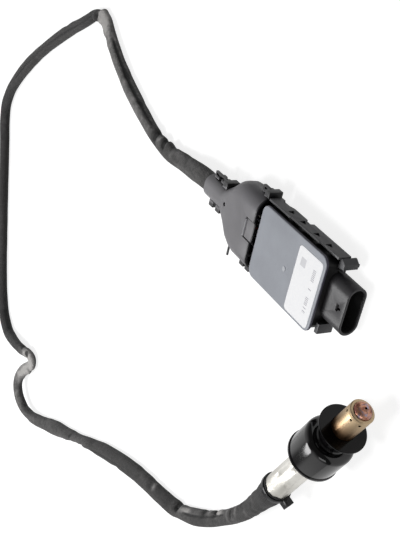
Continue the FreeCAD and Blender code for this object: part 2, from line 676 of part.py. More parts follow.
# Where the two shells' lugs meet along the left side: the side, and from where to where on Y.
LEFT_LUGS = (("hood_half", "hood_front + 4", "hood_front + 8.6"),
             ("hood_half", "hood_front + 11", "hood_front + 16"),
             ("neck_width / 2", "neck_start + 10.4", "neck_start + 15.6"),
             ("neck_width / 2", "neck_start + 19.4", "neck_start + 24.6"))


# The top shell: tongue with its bar, the strap loops on the right and the pads on the left.
def make_cover():
    base = half_shell("Cover", "hood_split", "40")
    left, right = "tongue_x - tongue_width / 2", "tongue_x + tongue_width / 2"
    top = "hood_top"
    front = "hood_front - tongue_reach"
    back = "hood_front + tongue_length"
    parts = [block("Tongue", left, right, front, "hood_front + 1", top + " - hood_wall", top),
             block("TongueBar", left + " + 0.6", right + " - 0.6", back + " - 1.2", back,
                   top + " - 0.6", top + " + 0.6"),
             # the thick place under the tongue's sunk face
             block("TongueBack", left, right, "hood_front + 0.4", back,
                   top + " - hood_wall - 0.8", top + " - 0.8")]
    # front strap loop, right side: two arms and the outer bar
    parts += strap("Front", "hood_half", "hood_front + 4.4", "hood_front + 11.3", "11.6", "13.4")
    # neck strap loop, right side
    parts += strap("Neck", "neck_width / 2", "neck_start + 10.4", "neck_start + 26", "11.4", "13.2")
    # the pads that meet the lower shell's lugs on the left
    for i, (side, y0, y1) in enumerate(LEFT_LUGS):
        parts.append(block("Pad%d" % i, "-(%s) - 3.6" % side, "-(%s) + 0.8" % side, y0, y1,
                           "hood_split + 2.2", "hood_split + 5.4"))
    # ribs that reach down to the carrier's bridge
    for i, side in enumerate((-1, 1)):
        parts.append(block("Rib%d" % i, "(%d) - 0.8" % (15 * side), "(%d) + 0.8" % (15 * side),
                           "hood_front + 0.6", "bridge_back - 0.5", "shoulder_level",
                           "hood_top - hood_wall + 0.5"))
    peg = doc.addObject("Part::Cylinder", "Peg")
    bind(peg, "Radius", "peg_radius")
    bind(peg, "Height", "peg_out + hood_half * 0.1374")
    peg.Placement = App.Placement(V(0, 0, 0), App.Rotation(V(0, 1, 0), 90))
    bind(peg, ".Placement.Base.x", "-peg_reach")
    bind(peg, ".Placement.Base.y", "peg_y")
    bind(peg, ".Placement.Base.z", "peg_level")
    parts.append(peg)
    whole = combine("MultiFuse", "CoverFused", base, parts)
    cuts = [block("SlotLeft", left + " - 0.6", left, "hood_front - 2", back,
                  top + " - tongue_groove", top + " + 1"),
            block("SlotRight", right, right + " + 0.6", "hood_front - 2", back,
                  top + " - tongue_groove", top + " + 1"),
            block("TongueSunk", left, right, "hood_front - 2", back + " - 1.2",
                  top + " - tongue_sink", top + " + 1")]
    hole = doc.addObject("Part::Cylinder", "CoverHole")
    bind(hole, "Radius", "hood_hole")
    bind(hole, "Height", "12")
    bind(hole, ".Placement.Base.x", "tongue_x - 0.4")
    bind(hole, ".Placement.Base.y", "hood_throat - 9.4")
    bind(hole, ".Placement.Base.z", "14")
    tool = combine("MultiFuse", "CoverCuts", cuts[0], cuts[1:] + [hole])
    piece = combine("Cut", "CoverPiece", whole, [tool])
    return final(piece, "hood_cover")


def strap(name, side, y0, y1, z0, z1):
    """A loop that stands out from the shell: two arms and a thin bar joining them."""
    out = "(%s) + 4.6" % side
    arm = "1.5"
    return [block(name + "ArmA", "(%s) - 0.8" % side, out, y0, "%s + %s" % (y0, arm), z0, z1),
            block(name + "ArmB", "(%s) - 0.8" % side, out, "%s - %s" % (y1, arm), y1, z0, z1),
            block(name + "Bar", out + " - 1.1", out, y0, y1, z0, z1)]


# The lower shell: catch blocks, hooks and lugs outside, and a wall across the open front that
# carries the carrier's bridge.
def make_base():
    base = half_shell("Base", "-10", "hood_split")
    outside = []
    roots = []
    # tall catch blocks on the right, before each strap: the side, from where to where on Y, where
    # the root starts, the top, and how far out
    catches = (("hood_half", "hood_front - 1.2", "hood_front + 3.8", "hood_front - 1.2", 16.6, 4.4),
               ("neck_width / 2", "neck_start + 4.6", "neck_start + 9.8", "neck_start + 7.6", 16.2,
                5.0))
    for i, (side, y0, y1, root, top, reach) in enumerate(catches):
        outside.append(block("Catch%d" % i, "(%s) + 0.3" % side, "(%s) + %g" % (side, reach),
                             y0, y1, "6.4", str(top)))
        roots.append(block("CatchRoot%d" % i, "(%s) - 0.6" % side, "(%s) + 1.2" % side,
                           root, y1, "6.4", "hood_split"))
    # hooks that reach up through the straps
    hooks = (("hood_half", "hood_front + 6.4", "hood_front + 9.4"),
             ("neck_width / 2", "neck_start + 12.6", "neck_start + 16.4"),
             ("neck_width / 2", "neck_start + 19.6", "neck_start + 23.4"))
    for i, (side, y0, y1) in enumerate(hooks):
        outside.append(block("Hook%d" % i, "(%s) + 0.3" % side, "(%s) + 2.4" % side, y0, y1,
                             "7.2", "13.9"))
        roots.append(block("HookRoot%d" % i, "(%s) - 0.6" % side, "(%s) + 1.2" % side,
                           y0, y1, "7.2", "hood_split"))
    # seam lugs on the left, under the cover's pads
    for i, (side, y0, y1) in enumerate(LEFT_LUGS):
        outside.append(block("Lug%d" % i, "-(%s) - 3.2" % side, "-(%s) - 0.3" % side, y0, y1,
                             "7.0", "hood_split + 2.2"))
        roots.append(block("LugRoot%d" % i, "-(%s) - 1.0" % side, "-(%s) + 0.8" % side, y0, y1,
                           "7.0", "hood_split"))
    tall = combine("MultiFuse", "BaseTall", outside[0], outside[1:])
    tall = combine("Cut", "BaseTallOutside", tall, [shell_out])
    wall_top = "shoulder_level - plate_thick"
    wall = combine("Common", "FrontWall", shell_out,
                   [block("WallBlock", "-40", "40", "hood_front", "hood_front + hood_wall", "-5",
                          wall_top)])
    # the foot that reaches forward under the carrier's plate
    foot = block("Foot", "-18", "18", "belly_length / 2 + 2", "hood_front + 0.6",
                 wall_top + " - 1.6", wall_top)
    piece = combine("MultiFuse", "BasePiece", base, roots + [tall, wall, foot])
    return final(piece, "hood_base")


make_cover()
make_base()


# A route of straight runs joined by tangent arcs, swept by a round section.
def corner_arcs(points):
    """Each corner's arc: its start, middle, end and radius."""
    arcs = []
    for a, b, c in zip(points, points[1:], points[2:]):
        back, ahead = (a - b), (c - b)
        short = min(back.Length, ahead.Length)
        back.normalize()
        ahead.normalize()
        half = (math.pi - back.getAngle(ahead)) / 2
        reach = 0.45 * short
        radius = reach / math.tan(half)
        middle = back + ahead
        middle.normalize()
        arcs.append((b + back * reach, b + middle * (radius / math.cos(half) - radius),
                     b + ahead * reach, radius))
    return arcs


def tube_along(points, radius):
    arcs = corner_arcs(points)
    edges = []
    here = points[0]
    length = 0.0
    for start, middle, end, _ in arcs:
        edges.append(Part.LineSegment(here, start).toShape())
        edges.append(Part.Arc(start, middle, end).toShape())
        here = end
    edges.append(Part.LineSegment(here, points[-1]).toShape())
    wire = Part.Wire(edges)
    for e in edges:
        length += e.Length
    first = points[1] - points[0]
    ring = Part.Wire([Part.makeCircle(radius, points[0], first)])
    shape = wire.makePipeShell([ring], True, False)
    if shape.ShapeType != "Solid":
        shape = Part.makeSolid(shape) if shape.ShapeType == "Shell" else shape.Solids[0]
    return shape, length, [a[3] for a in arcs]


# Eight wires from the board's terminals through the seal and the hood to the collar.
wire_z = size("seal_level")
rows = int(size("wire_count")) // 2


def collar_spot(i):
    """Where one wire passes the collar: two rows of four."""
    col, row = i % rows, i // rows
    return ((col - (rows - 1) / 2) * size("collar_pitch"),
            size("neck_level") + (row - 0.5) * size("collar_rows"))


def wire_start(i):
    return (i - (size("wire_count") - 1) / 2) * size("wire_pitch")


def wire_order():
    """Neighbouring wires take neighbouring places in the collar."""
    spots = []
    for col in range(rows):
        spots.append(col)
        spots.append(col + rows)
    return spots


def make_lead_wires():
    shapes = []
    start = size("terminal_front") + size("terminal_length")
    end = size("collar_back")
    for i, spot in enumerate(wire_order()):
        x0 = wire_start(i)
        x1, z1 = collar_spot(spot)
        pts = [V(x0, start, wire_z), V(x0, size("hood_front") + size("wire_run"), wire_z),
               V(x1, size("hood_throat") + 2, z1), V(x1, end, z1)]
        shape, length, radii = tube_along(pts, size("wire_radius"))
        shapes.append(shape)
    return final(solid_from("LeadWires", Part.makeCompound(shapes)), "lead_wires")


make_lead_wires()


def make_terminals():
    top = "board_level + board_thick"
    group = []
    for i in range(int(size("wire_count"))):
        mid = "(%g) * wire_pitch" % (i - (size("wire_count") - 1) / 2)
        group.append(block("Terminal%d" % i, mid + " - terminal_width / 2",
                           mid + " + terminal_width / 2", "terminal_front",
                           "terminal_front + terminal_length", top, top + " + terminal_tall"))
    joined = doc.addObject("Part::Compound", "Terminals")
    joined.Links = group
    return final(joined, "wire_terminals")


make_terminals()


# The rubber seal in the tray's rear port, with a bore for each wire.
def make_wire_seal():
    b = new_body("WireSeal")
    sk = new_sketch(b, "XZ_Plane", "tray_length / 2 - tray_wall - 1")
    box_outline(sk, "-seal_width / 2", "seal_width / 2",
                "seal_level - seal_height / 2", "seal_level + seal_height / 2")
    extrude(b, "Pad", sk, "seal_back - tray_length / 2 + tray_wall + 1")
    sk = new_sketch(b, "XZ_Plane", "tray_length / 2")
    box_outline(sk, "-seal_width / 2 - seal_lip", "seal_width / 2 + seal_lip",
                "seal_level - seal_height / 2 - seal_lip", "seal_lip_top")
    extrude(b, "Pad", sk, "seal_back - tray_length / 2")
    for i in range(int(size("wire_count"))):
        sk = new_sketch(b, "XZ_Plane", "tray_length / 2 - tray_wall - 3")
        disc(sk, "(%g) * wire_pitch" % (i - (size("wire_count") - 1) / 2), "seal_level",
             "wire_radius + wire_gap")
        extrude(b, "Pocket", sk, "8")
    return final(b, "wire_seal")


make_wire_seal()


# The rubber collar in the neck, where the wires enter the sleeve.
def make_collar():
    b = new_body("Collar")
    sk = new_sketch(b, "XZ_Plane", "collar_front")
    neck_outline(sk, "neck_wall + collar_gap")
    extrude(b, "Pad", sk, "collar_back - collar_front")
    for i in range(int(size("wire_count"))):
        cx, cz = collar_spot(i)
        sk = new_sketch(b, "XZ_Plane", "collar_front - 1")
        disc(sk, "%g" % cx, "neck_level + (%g)" % (cz - size("neck_level")),
             "wire_radius + wire_gap")
        extrude(b, "Pocket", sk, "collar_back - collar_front + 2")
    return final(b, "neck_collar")


make_collar()


# The probe. Its pieces are turned about their own X axis, the tip towards +X, then placed.
def probe_place():
    return App.Placement(V(size("probe_x"), size("probe_y"), size("lip_radius")),
                         App.Rotation(V(0, 0, 1), size("probe_turn")))


def lay(obj):
    """Puts a piece of the probe where the probe lies."""
    obj.Placement = probe_place()
    bind(obj, ".Placement.Base.x", "probe_x")
    bind(obj, ".Placement.Base.y", "probe_y")
    bind(obj, ".Placement.Base.z", "lip_radius")
    bind(obj, ".Placement.Rotation.Angle", "probe_turn")
    return obj


def turned(name, outline):
    """A piece turned from an outline of (along the axis, radius) pairs."""
    b = new_body(name)
    sk = new_sketch(b, "XZ_Plane")
    polygon(sk, outline)
    turn(b, sk)
    return b


# The glossy cap: rear lip, skirt, rounded shoulder, waist and thin front flange.
def make_guard():
    back = "-skirt_back"
    inner = "skirt_radius - cap_wall"
    outline = [(back, inner), (back, "lip_radius"), (back + " + lip_thick", "lip_radius"),
               (back + " + lip_thick + 0.4", "skirt_radius"), ("-skirt_front", "skirt_radius")]
    # the shoulder's quarter round, from the skirt in to the waist
    drop = "(skirt_radius - waist_radius - 0.8)"
    reach = "(skirt_front - waist_back)"
    for step in range(1, 7):
        a = math.radians(15 * step)
        outline.append(("-skirt_front + %s * %.4f" % (reach, math.sin(a)),
                        "skirt_radius - %s * %.4f" % (drop, 1 - math.cos(a))))
    # the waist, then the sweep out to the flange
    outline += [("-waist_back + 0.8", "waist_radius + 0.1"), ("-waist_back + 1.6", "waist_radius"),
                ("-waist_front", "waist_radius"), ("-waist_front + 1.2", "waist_radius + 0.5"),
                ("-waist_front + 2.2", "waist_radius + 1.6"),
                ("-waist_front + 3.0", "waist_radius + 3.2"),
                ("-flange_thick", "flange_radius - 0.3"), ("-flange_thick + 0.3", "flange_radius"),
                ("-0.3", "flange_radius"), ("0", "flange_radius - 0.3"), ("0", "cap_bore")]
    outline += [("-cap_seat", "cap_bore"), ("-cap_seat", "waist_radius + 1.7"),
                ("-skirt_front - 0.8", inner)]
    return final(lay(turned("Guard", outline)), "thread_guard")


make_guard()


# The steel body: rear collar, hexagon, thread ridges and nose, with the bore for the ceramics.
def make_probe_body():
    outline = [("-body_back", "bore_radius"), ("-body_back", "sheath_radius - sheath_wall - 0.05"),
               ("-hex_back", "sheath_radius - sheath_wall - 0.05"), ("-hex_back", "hex_flats * 0.62"),
               ("-hex_front", "hex_flats * 0.62"), ("-hex_front", "relief_radius"),
               ("-hex_front + washer_thick", "relief_radius"),
               ("-hex_front + washer_thick", "thread_radius - thread_depth")]
    ridge = -size("hex_front") + size("washer_thick")
    count = int((size("hex_front") - size("washer_thick") - size("thread_front")) / size("thread_step"))
    for i in range(count):
        start = "-hex_front + washer_thick + %d * thread_step" % i
        outline += [(start + " + 0.45 * thread_step", "thread_radius"),
                    (start + " + 0.55 * thread_step", "thread_radius"),
                    (start + " + thread_step", "thread_radius - thread_depth")]
    outline += [("-thread_front + 0.4", "thread_radius - thread_depth - 0.4"),
                ("-outer_back", "nose_radius + 0.9"), ("-outer_back", "nose_radius"),
                ("-nose_front", "nose_radius"), ("-nose_front", "throat_radius"),
                ("-bore_front", "throat_radius"), ("-bore_front", "bore_radius")]
    b = turned("ProbeBody", outline)
    # flats of the hexagon: six pockets round the axis
    for i in range(6):
        sk = new_sketch(b, "YZ_Plane", "-hex_back - 1")
        a = math.radians(60 * i)
        far, wide = size("hex_flats") * 0.62 + 2, size("hex_flats")
        corners = []
        for across, out in ((-0.5, 0.5), (0.5, 0.5), (0.5, 0.75), (-0.5, 0.75)):
            u = across * math.cos(a) - out * math.sin(a)
            w = across * math.sin(a) + out * math.cos(a)
            corners.append(("hex_flats * %.5f" % u, "hex_flats * %.5f" % w))
        polygon(sk, corners)
        extrude(b, "Pocket", sk, "hex_back - hex_front + 1.6")
    return final(lay(b), "sensor_body")


make_probe_body()

final(lay(turned("Washer", [("-hex_front", "relief_radius + 0.15"), ("-hex_front", "washer_radius"),
                            ("-hex_front + washer_thick - 0.2", "washer_radius"),
                            ("-hex_front + washer_thick - 0.2", "relief_radius + 0.15")])),
      "seal_ring")


# The bright sheath tube behind the hexagon, with two rings of shallow crimp dimples.
def make_sheath():
    inner = "sheath_radius - sheath_wall"
    b = turned("Sheath", [("-sheath_back", inner), ("-sheath_back", "sheath_radius"),
                          ("-hex_back", "sheath_radius"), ("-hex_back", inner)])
    lay(b)
    scoops = []
    ball = size("dimple_radius")
    out = size("sheath_radius") - size("dimple_depth") + ball
    for ring, at in enumerate(("dimple_rear", "dimple_front")):
        for i in range(6):
            a = math.radians(60 * i + 30 * ring + 20)
            s = doc.addObject("Part::Sphere", "Scoop%d%d" % (ring, i))
            bind(s, "Radius", "dimple_radius")
            spot = probe_place().multVec(V(-size(at), out * math.cos(a), out * math.sin(a)))
            s.Placement.Base = spot
            scoops.append(s)
    tool = doc.addObject("Part::Compound", "Scoops")
    tool.Links = scoops
    return final(combine("Cut", "SheathPiece", b, [tool]), "sheath_tube")


make_sheath()


# The tinted outer protection tube: bead near its end, rolled rim, a ring of side holes.
def make_outer_tube():
    inner = "outer_radius - outer_wall"
    b = turned("OuterTube", [("-outer_back", inner), ("-outer_back", "outer_radius"),
                             ("bead_at - 0.8", "outer_radius"),
                             ("bead_at", "outer_radius - bead_depth"),
                             ("bead_at + 0.8", "outer_radius"),
                             ("outer_front - 0.6", "outer_radius"),
                             ("outer_front", "outer_radius - 0.6"), ("outer_front", "rim_radius"),
                             ("outer_front - outer_wall", "rim_radius"),
                             ("outer_front - outer_wall - 0.4", inner + " - 0.3"),
                             ("bead_at + 0.9", inner), ("bead_at", inner + " - bead_depth"),
                             ("bead_at - 0.9", inner)])
    sk = new_sketch(b, "XY_Plane", "0")
    disc(sk, "side_hole_at", "0", "side_hole_radius")
    f = extrude(b, "Pocket", sk, "outer_radius + 1")
    ring = b.newObject("PartDesign::PolarPattern", "SideHoles")
    ring.Originals = [f]
    ring.Axis = (plane_axis(b), [""])
    ring.Angle = 360
    ring.Occurrences = 8
    b.Tip = ring
    doc.recompute()
    lay(b)
    # the first hole stands at this angle round the axis
    spin = App.Rotation(V(0, 0, 1), size("probe_turn")).multiply(
        App.Rotation(V(1, 0, 0), size("side_hole_first")))
    b.setExpression(".Placement.Rotation.Angle", None)
    b.Placement = App.Placement(probe_place().Base, spin)
    return final(b, "outer_protection_tube")


def plane_axis(body):
    for feature in body.Origin.OriginFeatures:
        if feature.Role == "X_Axis":
            return feature
    raise ValueError("X_Axis")


make_outer_tube()


# The inner protection tube: a flange on the nose, side holes and a domed end with its hole.
def make_inner_tube():
    r, w = "inner_radius", "inner_wall"
    rise = "(dome_front - outer_front)"
    outside, inside = [], []
    for step in range(0, 7):
        a = math.radians(15 * step)
        along, out = math.sin(a), math.cos(a)
        if step == 6:
            outside.append(("dome_front", "centre_hole_radius"))
            inside.append(("dome_front - " + w, "centre_hole_radius"))
        else:
            outside.append(("outer_front + %s * %.4f" % (rise, along), "%s * %.4f" % (r, out)))
            inside.append(("outer_front - 0.2 + (%s - %s + 0.2) * %.4f" % (rise, w, along),
                           "(%s - %s) * %.4f" % (r, w, out)))
    outline = [("-nose_front", r + " - " + w), ("-nose_front", "nose_radius - 0.05"),
               ("-nose_front + " + w, "nose_radius - 0.05"), ("-nose_front + " + w, r)]
    b = turned("InnerTube", outline + outside + inside[::-1])
    sk = new_sketch(b, "XY_Plane", "0")
    disc(sk, "2", "0", "side_hole_radius")
    f = extrude(b, "Pocket", sk, "inner_radius + 1")
    ring = b.newObject("PartDesign::PolarPattern", "InnerHoles")
    ring.Originals = [f]
    ring.Axis = (plane_axis(b), [""])
    ring.Angle = 360
    ring.Occurrences = 6
    b.Tip = ring
    doc.recompute()
    return final(lay(b), "inner_protection_tube")


make_inner_tube()


# The ceramics that hold the sensing strip in the body.
def slotted(name, label, back, front, radius):
    b = turned(name, [("-(%s)" % back, "0"), ("-(%s)" % back, radius), ("-(%s)" % front, radius),
                      ("-(%s)" % front, "0")])
    sk = new_sketch(b, "YZ_Plane", "-(%s) - 1" % back)
    box_outline(sk, "-strip_width / 2 - strip_gap", "strip_width / 2 + strip_gap",
                "-strip_thick / 2 - strip_gap", "strip_thick / 2 + strip_gap")
    extrude(b, "Pocket", sk, "(%s) - (%s) + 2" % (back, front))
    return final(lay(b), label)


slotted("RearBush", "ceramic_bush_rear", "44", "34", "bore_radius - 0.05")
slotted("Packing", "packing_ring", "34", "30", "bore_radius - 0.05")
slotted("FrontBush", "ceramic_bush_front", "30", "bore_front", "bore_radius - 0.05")
slotted("Holder", "contact_holder", "holder_back", "holder_front", "sheath_radius - sheath_wall - 0.1")


def make_strip():
    b = new_body("Strip")
    sk = new_sketch(b, "YZ_Plane", "-strip_back")
    box_outline(sk, "-strip_width / 2", "strip_width / 2", "-strip_thick / 2", "strip_thick / 2")
    extrude(b, "Pad", sk, "strip_back + strip_front")
    return final(lay(b), "sensing_element")


make_strip()


# The rubber plug in the sheath's rear end, and the wires that pass it.
def plug_spot(i):
    a = math.radians(45 * i + 22.5)
    return size("plug_circle") * math.cos(a), size("plug_circle") * math.sin(a)


def make_plug():
    radius = "sheath_radius - sheath_wall"
    b = turned("Plug", [("-sheath_back", "0"), ("-sheath_back", radius), ("-plug_front", radius),
                        ("-plug_front", "0")])
    for i in range(int(size("wire_count"))):
        a = math.radians(45 * i + 22.5)
        sk = new_sketch(b, "YZ_Plane", "-sheath_back - 1")
        disc(sk, "plug_circle * %.5f" % math.cos(a), "plug_circle * %.5f" % math.sin(a),
             "wire_radius + wire_gap")
        extrude(b, "Pocket", sk, "sheath_back - plug_front + 2")
    return final(lay(b), "sheath_plug")


make_plug()


def make_probe_wires():
    shapes = []
    for i in range(int(size("wire_count"))):
        y, z = plug_spot(i)
        length = size("sheath_back") - size("holder_back")
        wire = Part.makeCylinder(size("wire_radius"), length, V(-size("sheath_back"), y, z), V(1, 0, 0))
        shapes.append(wire)
    f = solid_from("ProbeWires", Part.makeCompound(shapes))
    f.Placement = probe_place()
    return final(f, "probe_wires")


make_probe_wires()


# The cable tie that grips the sleeve's end on the sheath, with its square head.
def make_tie():
    b = new_body("Tie")
    sk = new_sketch(b, "XZ_Plane")
    polygon(sk, [("-tie_back", "tie_inner"), ("-tie_back", "tie_inner + tie_thick"),
                 ("-tie_front", "tie_inner + tie_thick"), ("-tie_front", "tie_inner")])
    turn(b, sk)
    # the head stands out at its angle round the band
    a = math.radians(size("tie_head_angle"))
    ca, sa = math.cos(a), math.sin(a)
    sk = new_sketch(b, "YZ_Plane", "-tie_back - 1.2")
    corners = []
    inner = "(tie_inner + 0.4)"
    outer = "(tie_inner + 0.4 + tie_head_tall)"
    for across, out in ((-0.5, inner), (0.5, inner), (0.5, outer), (-0.5, outer)):
        corners.append(("tie_head_width * %.5f + %s * %.5f" % (-across * sa, out, ca),
                        "tie_head_width * %.5f + %s * %.5f" % (across * ca, out, sa)))
    polygon(sk, corners)
    extrude(b, "Pad", sk, "tie_back - tie_front + 2.0")
    return final(lay(b), "cable_tie")


make_tie()


# The cable in its sleeve: its whole route on the ground, chosen point by point.
probe_end = probe_place().multVec(V(-size("sheath_back"), 0, 0))
probe_run = probe_place().multVec(V(-size("sheath_back") - size("sleeve_in"), 0, 0))
low = size("sleeve_radius")
ROUTE = [
    V(0, size("collar_back"), size("neck_level")),
    V(0, size("collar_back") + size("sleeve_out"), size("neck_level")),
    V(-5.5, 150, 8.0), V(-10.5, 182, low), V(-10.5, 207, low), V(-2, 240, low), V(13, 283, low),
    V(33, 320, low), V(45, 338, low), V(42.5, 357, low), V(31, 372, low), V(14.6, 401.8, low),
    V(-10, 440, low), V(-41, 481.5, low), V(-74, 518.5, low), V(-104, 543, low),
    V(-128, 549.5, low), V(-156, 541.5, low), V(-195, 530, low), V(-250, 515.5, low),
    V(-300, 500.5, low), V(-331, 488.5, low), V(-347.5, 474, low), V(-354.5, 455, low),
    V(-350.5, 430, low), V(-342.5, 410.5, low), V(-338.5, 397, low), V(-345.5, 386, low),
    V(-358.5, 384.5, low), V(-371.5, 396.5, low), V(-387.8, 396.9, low), V(-400.4, 385.5, low),
    V(-402.9, 367.7, low), V(-391.5, 345, low), V(-373, 316, low), V(-338, 252, low),
    V(-303, 186, low), V(-284, 139, low), V(-273, 97, low), V(-261.5, 64, low), V(-240, 33, low),
    V(-216, 8.5, low + 0.2), V(-189, -14.5, 10.5), probe_run, probe_end,
]


def make_sleeve():
    shape, length, radii = tube_along(ROUTE, size("sleeve_radius"))
    print("cable length %.1f mm, volume %.0f against section x length %.0f"
          % (length, shape.Volume, math.pi * size("sleeve_radius") ** 2 * length))
    print("arc radii (mm): " + " ".join("%.0f" % r for r in radii))
    return final(solid_from("Sleeve", shape), "cable_sleeve")


make_sleeve()

# Every object has to be sound before anything is written.
doc.recompute()
bad = [o.Name for o in doc.Objects if any(s in ("Invalid", "Error") for s in o.State)]
for piece in FINAL:
    if piece.Shape.isNull() or not piece.Shape.isValid() or not piece.Shape.Solids:
        bad.append(piece.Label)
if bad:
    raise SystemExit("unsound: " + ", ".join(bad))

os.makedirs("parts", exist_ok=True)
for piece in FINAL:
    piece.Shape.exportStep("parts/%s.step" % piece.Label)
    box = piece.Shape.BoundBox
    print("%-22s %2d solid(s) %9.1f mm3  x %.1f..%.1f  y %.1f..%.1f  z %.2f..%.2f"
          % (piece.Label, len(piece.Shape.Solids), piece.Shape.Volume, box.XMin, box.XMax,
             box.YMin, box.YMax, box.ZMin, box.ZMax))
print("pieces:", len(FINAL))
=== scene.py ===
# %% [markdown]
# # A nitrogen oxide sensor, dressed for a studio picture
#
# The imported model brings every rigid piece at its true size: the control unit, the hood over its
# cable outlet and the probe. This lesson gives those pieces their finishes, makes the limp sleeve
# that joins the unit to the probe, and sets up the studio and the camera.

# %% Load the fixed frame
import bpy
import bmesh
import math
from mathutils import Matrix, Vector


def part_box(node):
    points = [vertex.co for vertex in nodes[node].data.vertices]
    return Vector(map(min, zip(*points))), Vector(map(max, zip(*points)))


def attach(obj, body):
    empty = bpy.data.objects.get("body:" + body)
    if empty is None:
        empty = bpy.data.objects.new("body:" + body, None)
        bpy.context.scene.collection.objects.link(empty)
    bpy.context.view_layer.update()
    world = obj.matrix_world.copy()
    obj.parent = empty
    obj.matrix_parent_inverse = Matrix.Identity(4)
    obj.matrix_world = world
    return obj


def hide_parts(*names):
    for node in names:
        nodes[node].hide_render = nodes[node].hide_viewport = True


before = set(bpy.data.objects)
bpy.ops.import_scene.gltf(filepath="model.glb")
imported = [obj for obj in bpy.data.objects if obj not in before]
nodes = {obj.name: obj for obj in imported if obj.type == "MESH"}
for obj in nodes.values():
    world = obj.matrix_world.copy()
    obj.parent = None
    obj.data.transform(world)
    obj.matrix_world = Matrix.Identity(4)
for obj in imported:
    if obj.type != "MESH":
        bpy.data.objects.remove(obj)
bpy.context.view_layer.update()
MM = 0.001

# %% [markdown]
# ## The camera
#
# The picture looks down at the unit from its front right. The place and the three angles were
# solved from straight edges and circles of the object whose sizes are known. The frame is
# upright, so Blender's sensor width runs along its long side.

# %% Camera
CAMERA_PLACE = (0.27294, -0.42231, 0.36332)
CAMERA_TURN = (-0.138635, 1.051561, -1.164829)
LENS = 67.54
SENSOR = 36.0
NEAREST = 0.01
FARTHEST = 30.0


def link(name, data):
    """A new object at the origin, linked into the scene."""
    made = bpy.data.objects.new(name, data)
    bpy.context.scene.collection.objects.link(made)
    return made


camera_data = bpy.data.cameras.new("studio_camera")
camera_data.sensor_width = SENSOR
camera_data.lens = LENS
camera_data.clip_start = NEAREST
camera_data.clip_end = FARTHEST
camera = link("studio_camera", camera_data)
camera.location = CAMERA_PLACE
camera.rotation_euler = CAMERA_TURN
bpy.context.scene.camera = camera
print("camera at", [round(v, 3) for v in camera.location])

# %% [markdown]
# ## Shader arithmetic
#
# A procedural finish is a small sum: a mask times a colour step, a noise times a depth. Written
# with nodes alone that is hard to read, so one class wraps a socket and gives it the usual
# operators. Colours go through Mix nodes and places through Vector Math, because a plain Math
# node would turn a colour grey. A graph adds the nodes, and a finish is the graph of one new
# material.

# %% Sockets with operators, graphs and finishes
# a Mix node has one set of sockets for each type of value, and these are the colour's
MIX_INPUTS = (0, 6, 7)
MIX_OUTPUT = 2
# nearly all values of a noise lie between these two, round this middle
USUAL = (0.3, 0.7)
MIDDLE = 0.5


class Signal:
    """One output socket of a graph, with arithmetic."""

    def __init__(self, graph, socket):
        self.graph = graph
        self.socket = socket

    def _math(self, operation, *values):
        return self.graph.node("ShaderNodeMath", {"operation": operation},
                               dict(enumerate(values)))

    def __add__(self, other):
        return self._math("ADD", self, other)

    def __sub__(self, other):
        return self._math("SUBTRACT", self, other)

    def __rsub__(self, other):
        return self._math("SUBTRACT", other, self)

    def __mul__(self, other):
        return self._math("MULTIPLY", self, other)

    def __truediv__(self, other):
        return self._math("DIVIDE", self, other)

    def __gt__(self, other):
        return self._math("GREATER_THAN", self, other)

    def __lt__(self, other):
        return self._math("LESS_THAN", self, other)

    __radd__ = __add__
    __rmul__ = __mul__

    def sine(self):
        return self._math("SINE", self)

    def size(self):
        """The value without its sign."""
        return self._math("ABSOLUTE", self)

    def part(self):
        """What follows the decimal point."""
        return self._math("FRACT", self)

    def whole(self):
        return self._math("FLOOR", self)

    def least(self, other):
        return self._math("MINIMUM", self, other)

    def most(self, other):
        return self._math("MAXIMUM", self, other)

    def within(self, low, high):
        """One between two limits, nothing outside them."""
        return (self > low) * (self < high)

    def spread(self, low, high, to_low=0.0, to_high=1.0):
        """Moves a range onto another one, and stops at its ends."""
        return self.graph.node("ShaderNodeMapRange", {"interpolation_type": "SMOOTHSTEP"},
                               {"Value": self, "From Min": low, "From Max": high,
                                "To Min": to_low, "To Max": to_high})


class Graph:
    """A node tree, and the ways in which nodes are added to it."""

    def __init__(self, tree):
        self.tree = tree

    def node(self, kind, settings=None, values=None, output=0):
        """Adds a node: its settings first, then the values or links of its sockets."""
        made = self.tree.nodes.new(kind)
        for key, value in (settings or {}).items():
            setattr(made, key, value)
        for key, value in (values or {}).items():
            if isinstance(value, Signal):
                self.tree.links.new(value.socket, made.inputs[key])
            else:
                made.inputs[key].default_value = value
        return Signal(self, made.outputs[output])

    def dot(self, where, axis):
        """How far a place lies along an axis."""
        return self.node("ShaderNodeVectorMath", {"operation": "DOT_PRODUCT"},
                         {0: where, 1: axis}, output="Value")

    def ray(self, kind):
        """One for the rays of one kind, nothing for all others."""
        return self.node("ShaderNodeLightPath", output=kind)

    def luck(self, number):
        """A random value from 0 to 1 for each whole number, the same in every run."""
        return self.node("ShaderNodeTexWhiteNoise", {"noise_dimensions": "1D"}, {"W": number})

    def ramp(self, value, stops):
        """The colour at a value, on a scale with a colour at each of its stops."""
        hue = self.node("ShaderNodeValToRGB", None, {0: value})
        scale = hue.socket.node.color_ramp
        while len(scale.elements) < len(stops):
            scale.elements.new(0.5)
        for element, (place, colour) in zip(scale.elements, stops):
            element.position = place
            element.color = (*colour, 1.0)
        return hue

    def blend(self, factor, first, second):
        """Mixes two colours."""
        made = self.tree.nodes.new("ShaderNodeMix")
        made.data_type = "RGBA"
        for key, value in zip(MIX_INPUTS, (factor, first, second)):
            if isinstance(value, Signal):
                self.tree.links.new(value.socket, made.inputs[key])
            elif isinstance(value, tuple):
                made.inputs[key].default_value = (*value, 1.0)
            else:
                made.inputs[key].default_value = value
        return Signal(self, made.outputs[MIX_OUTPUT])


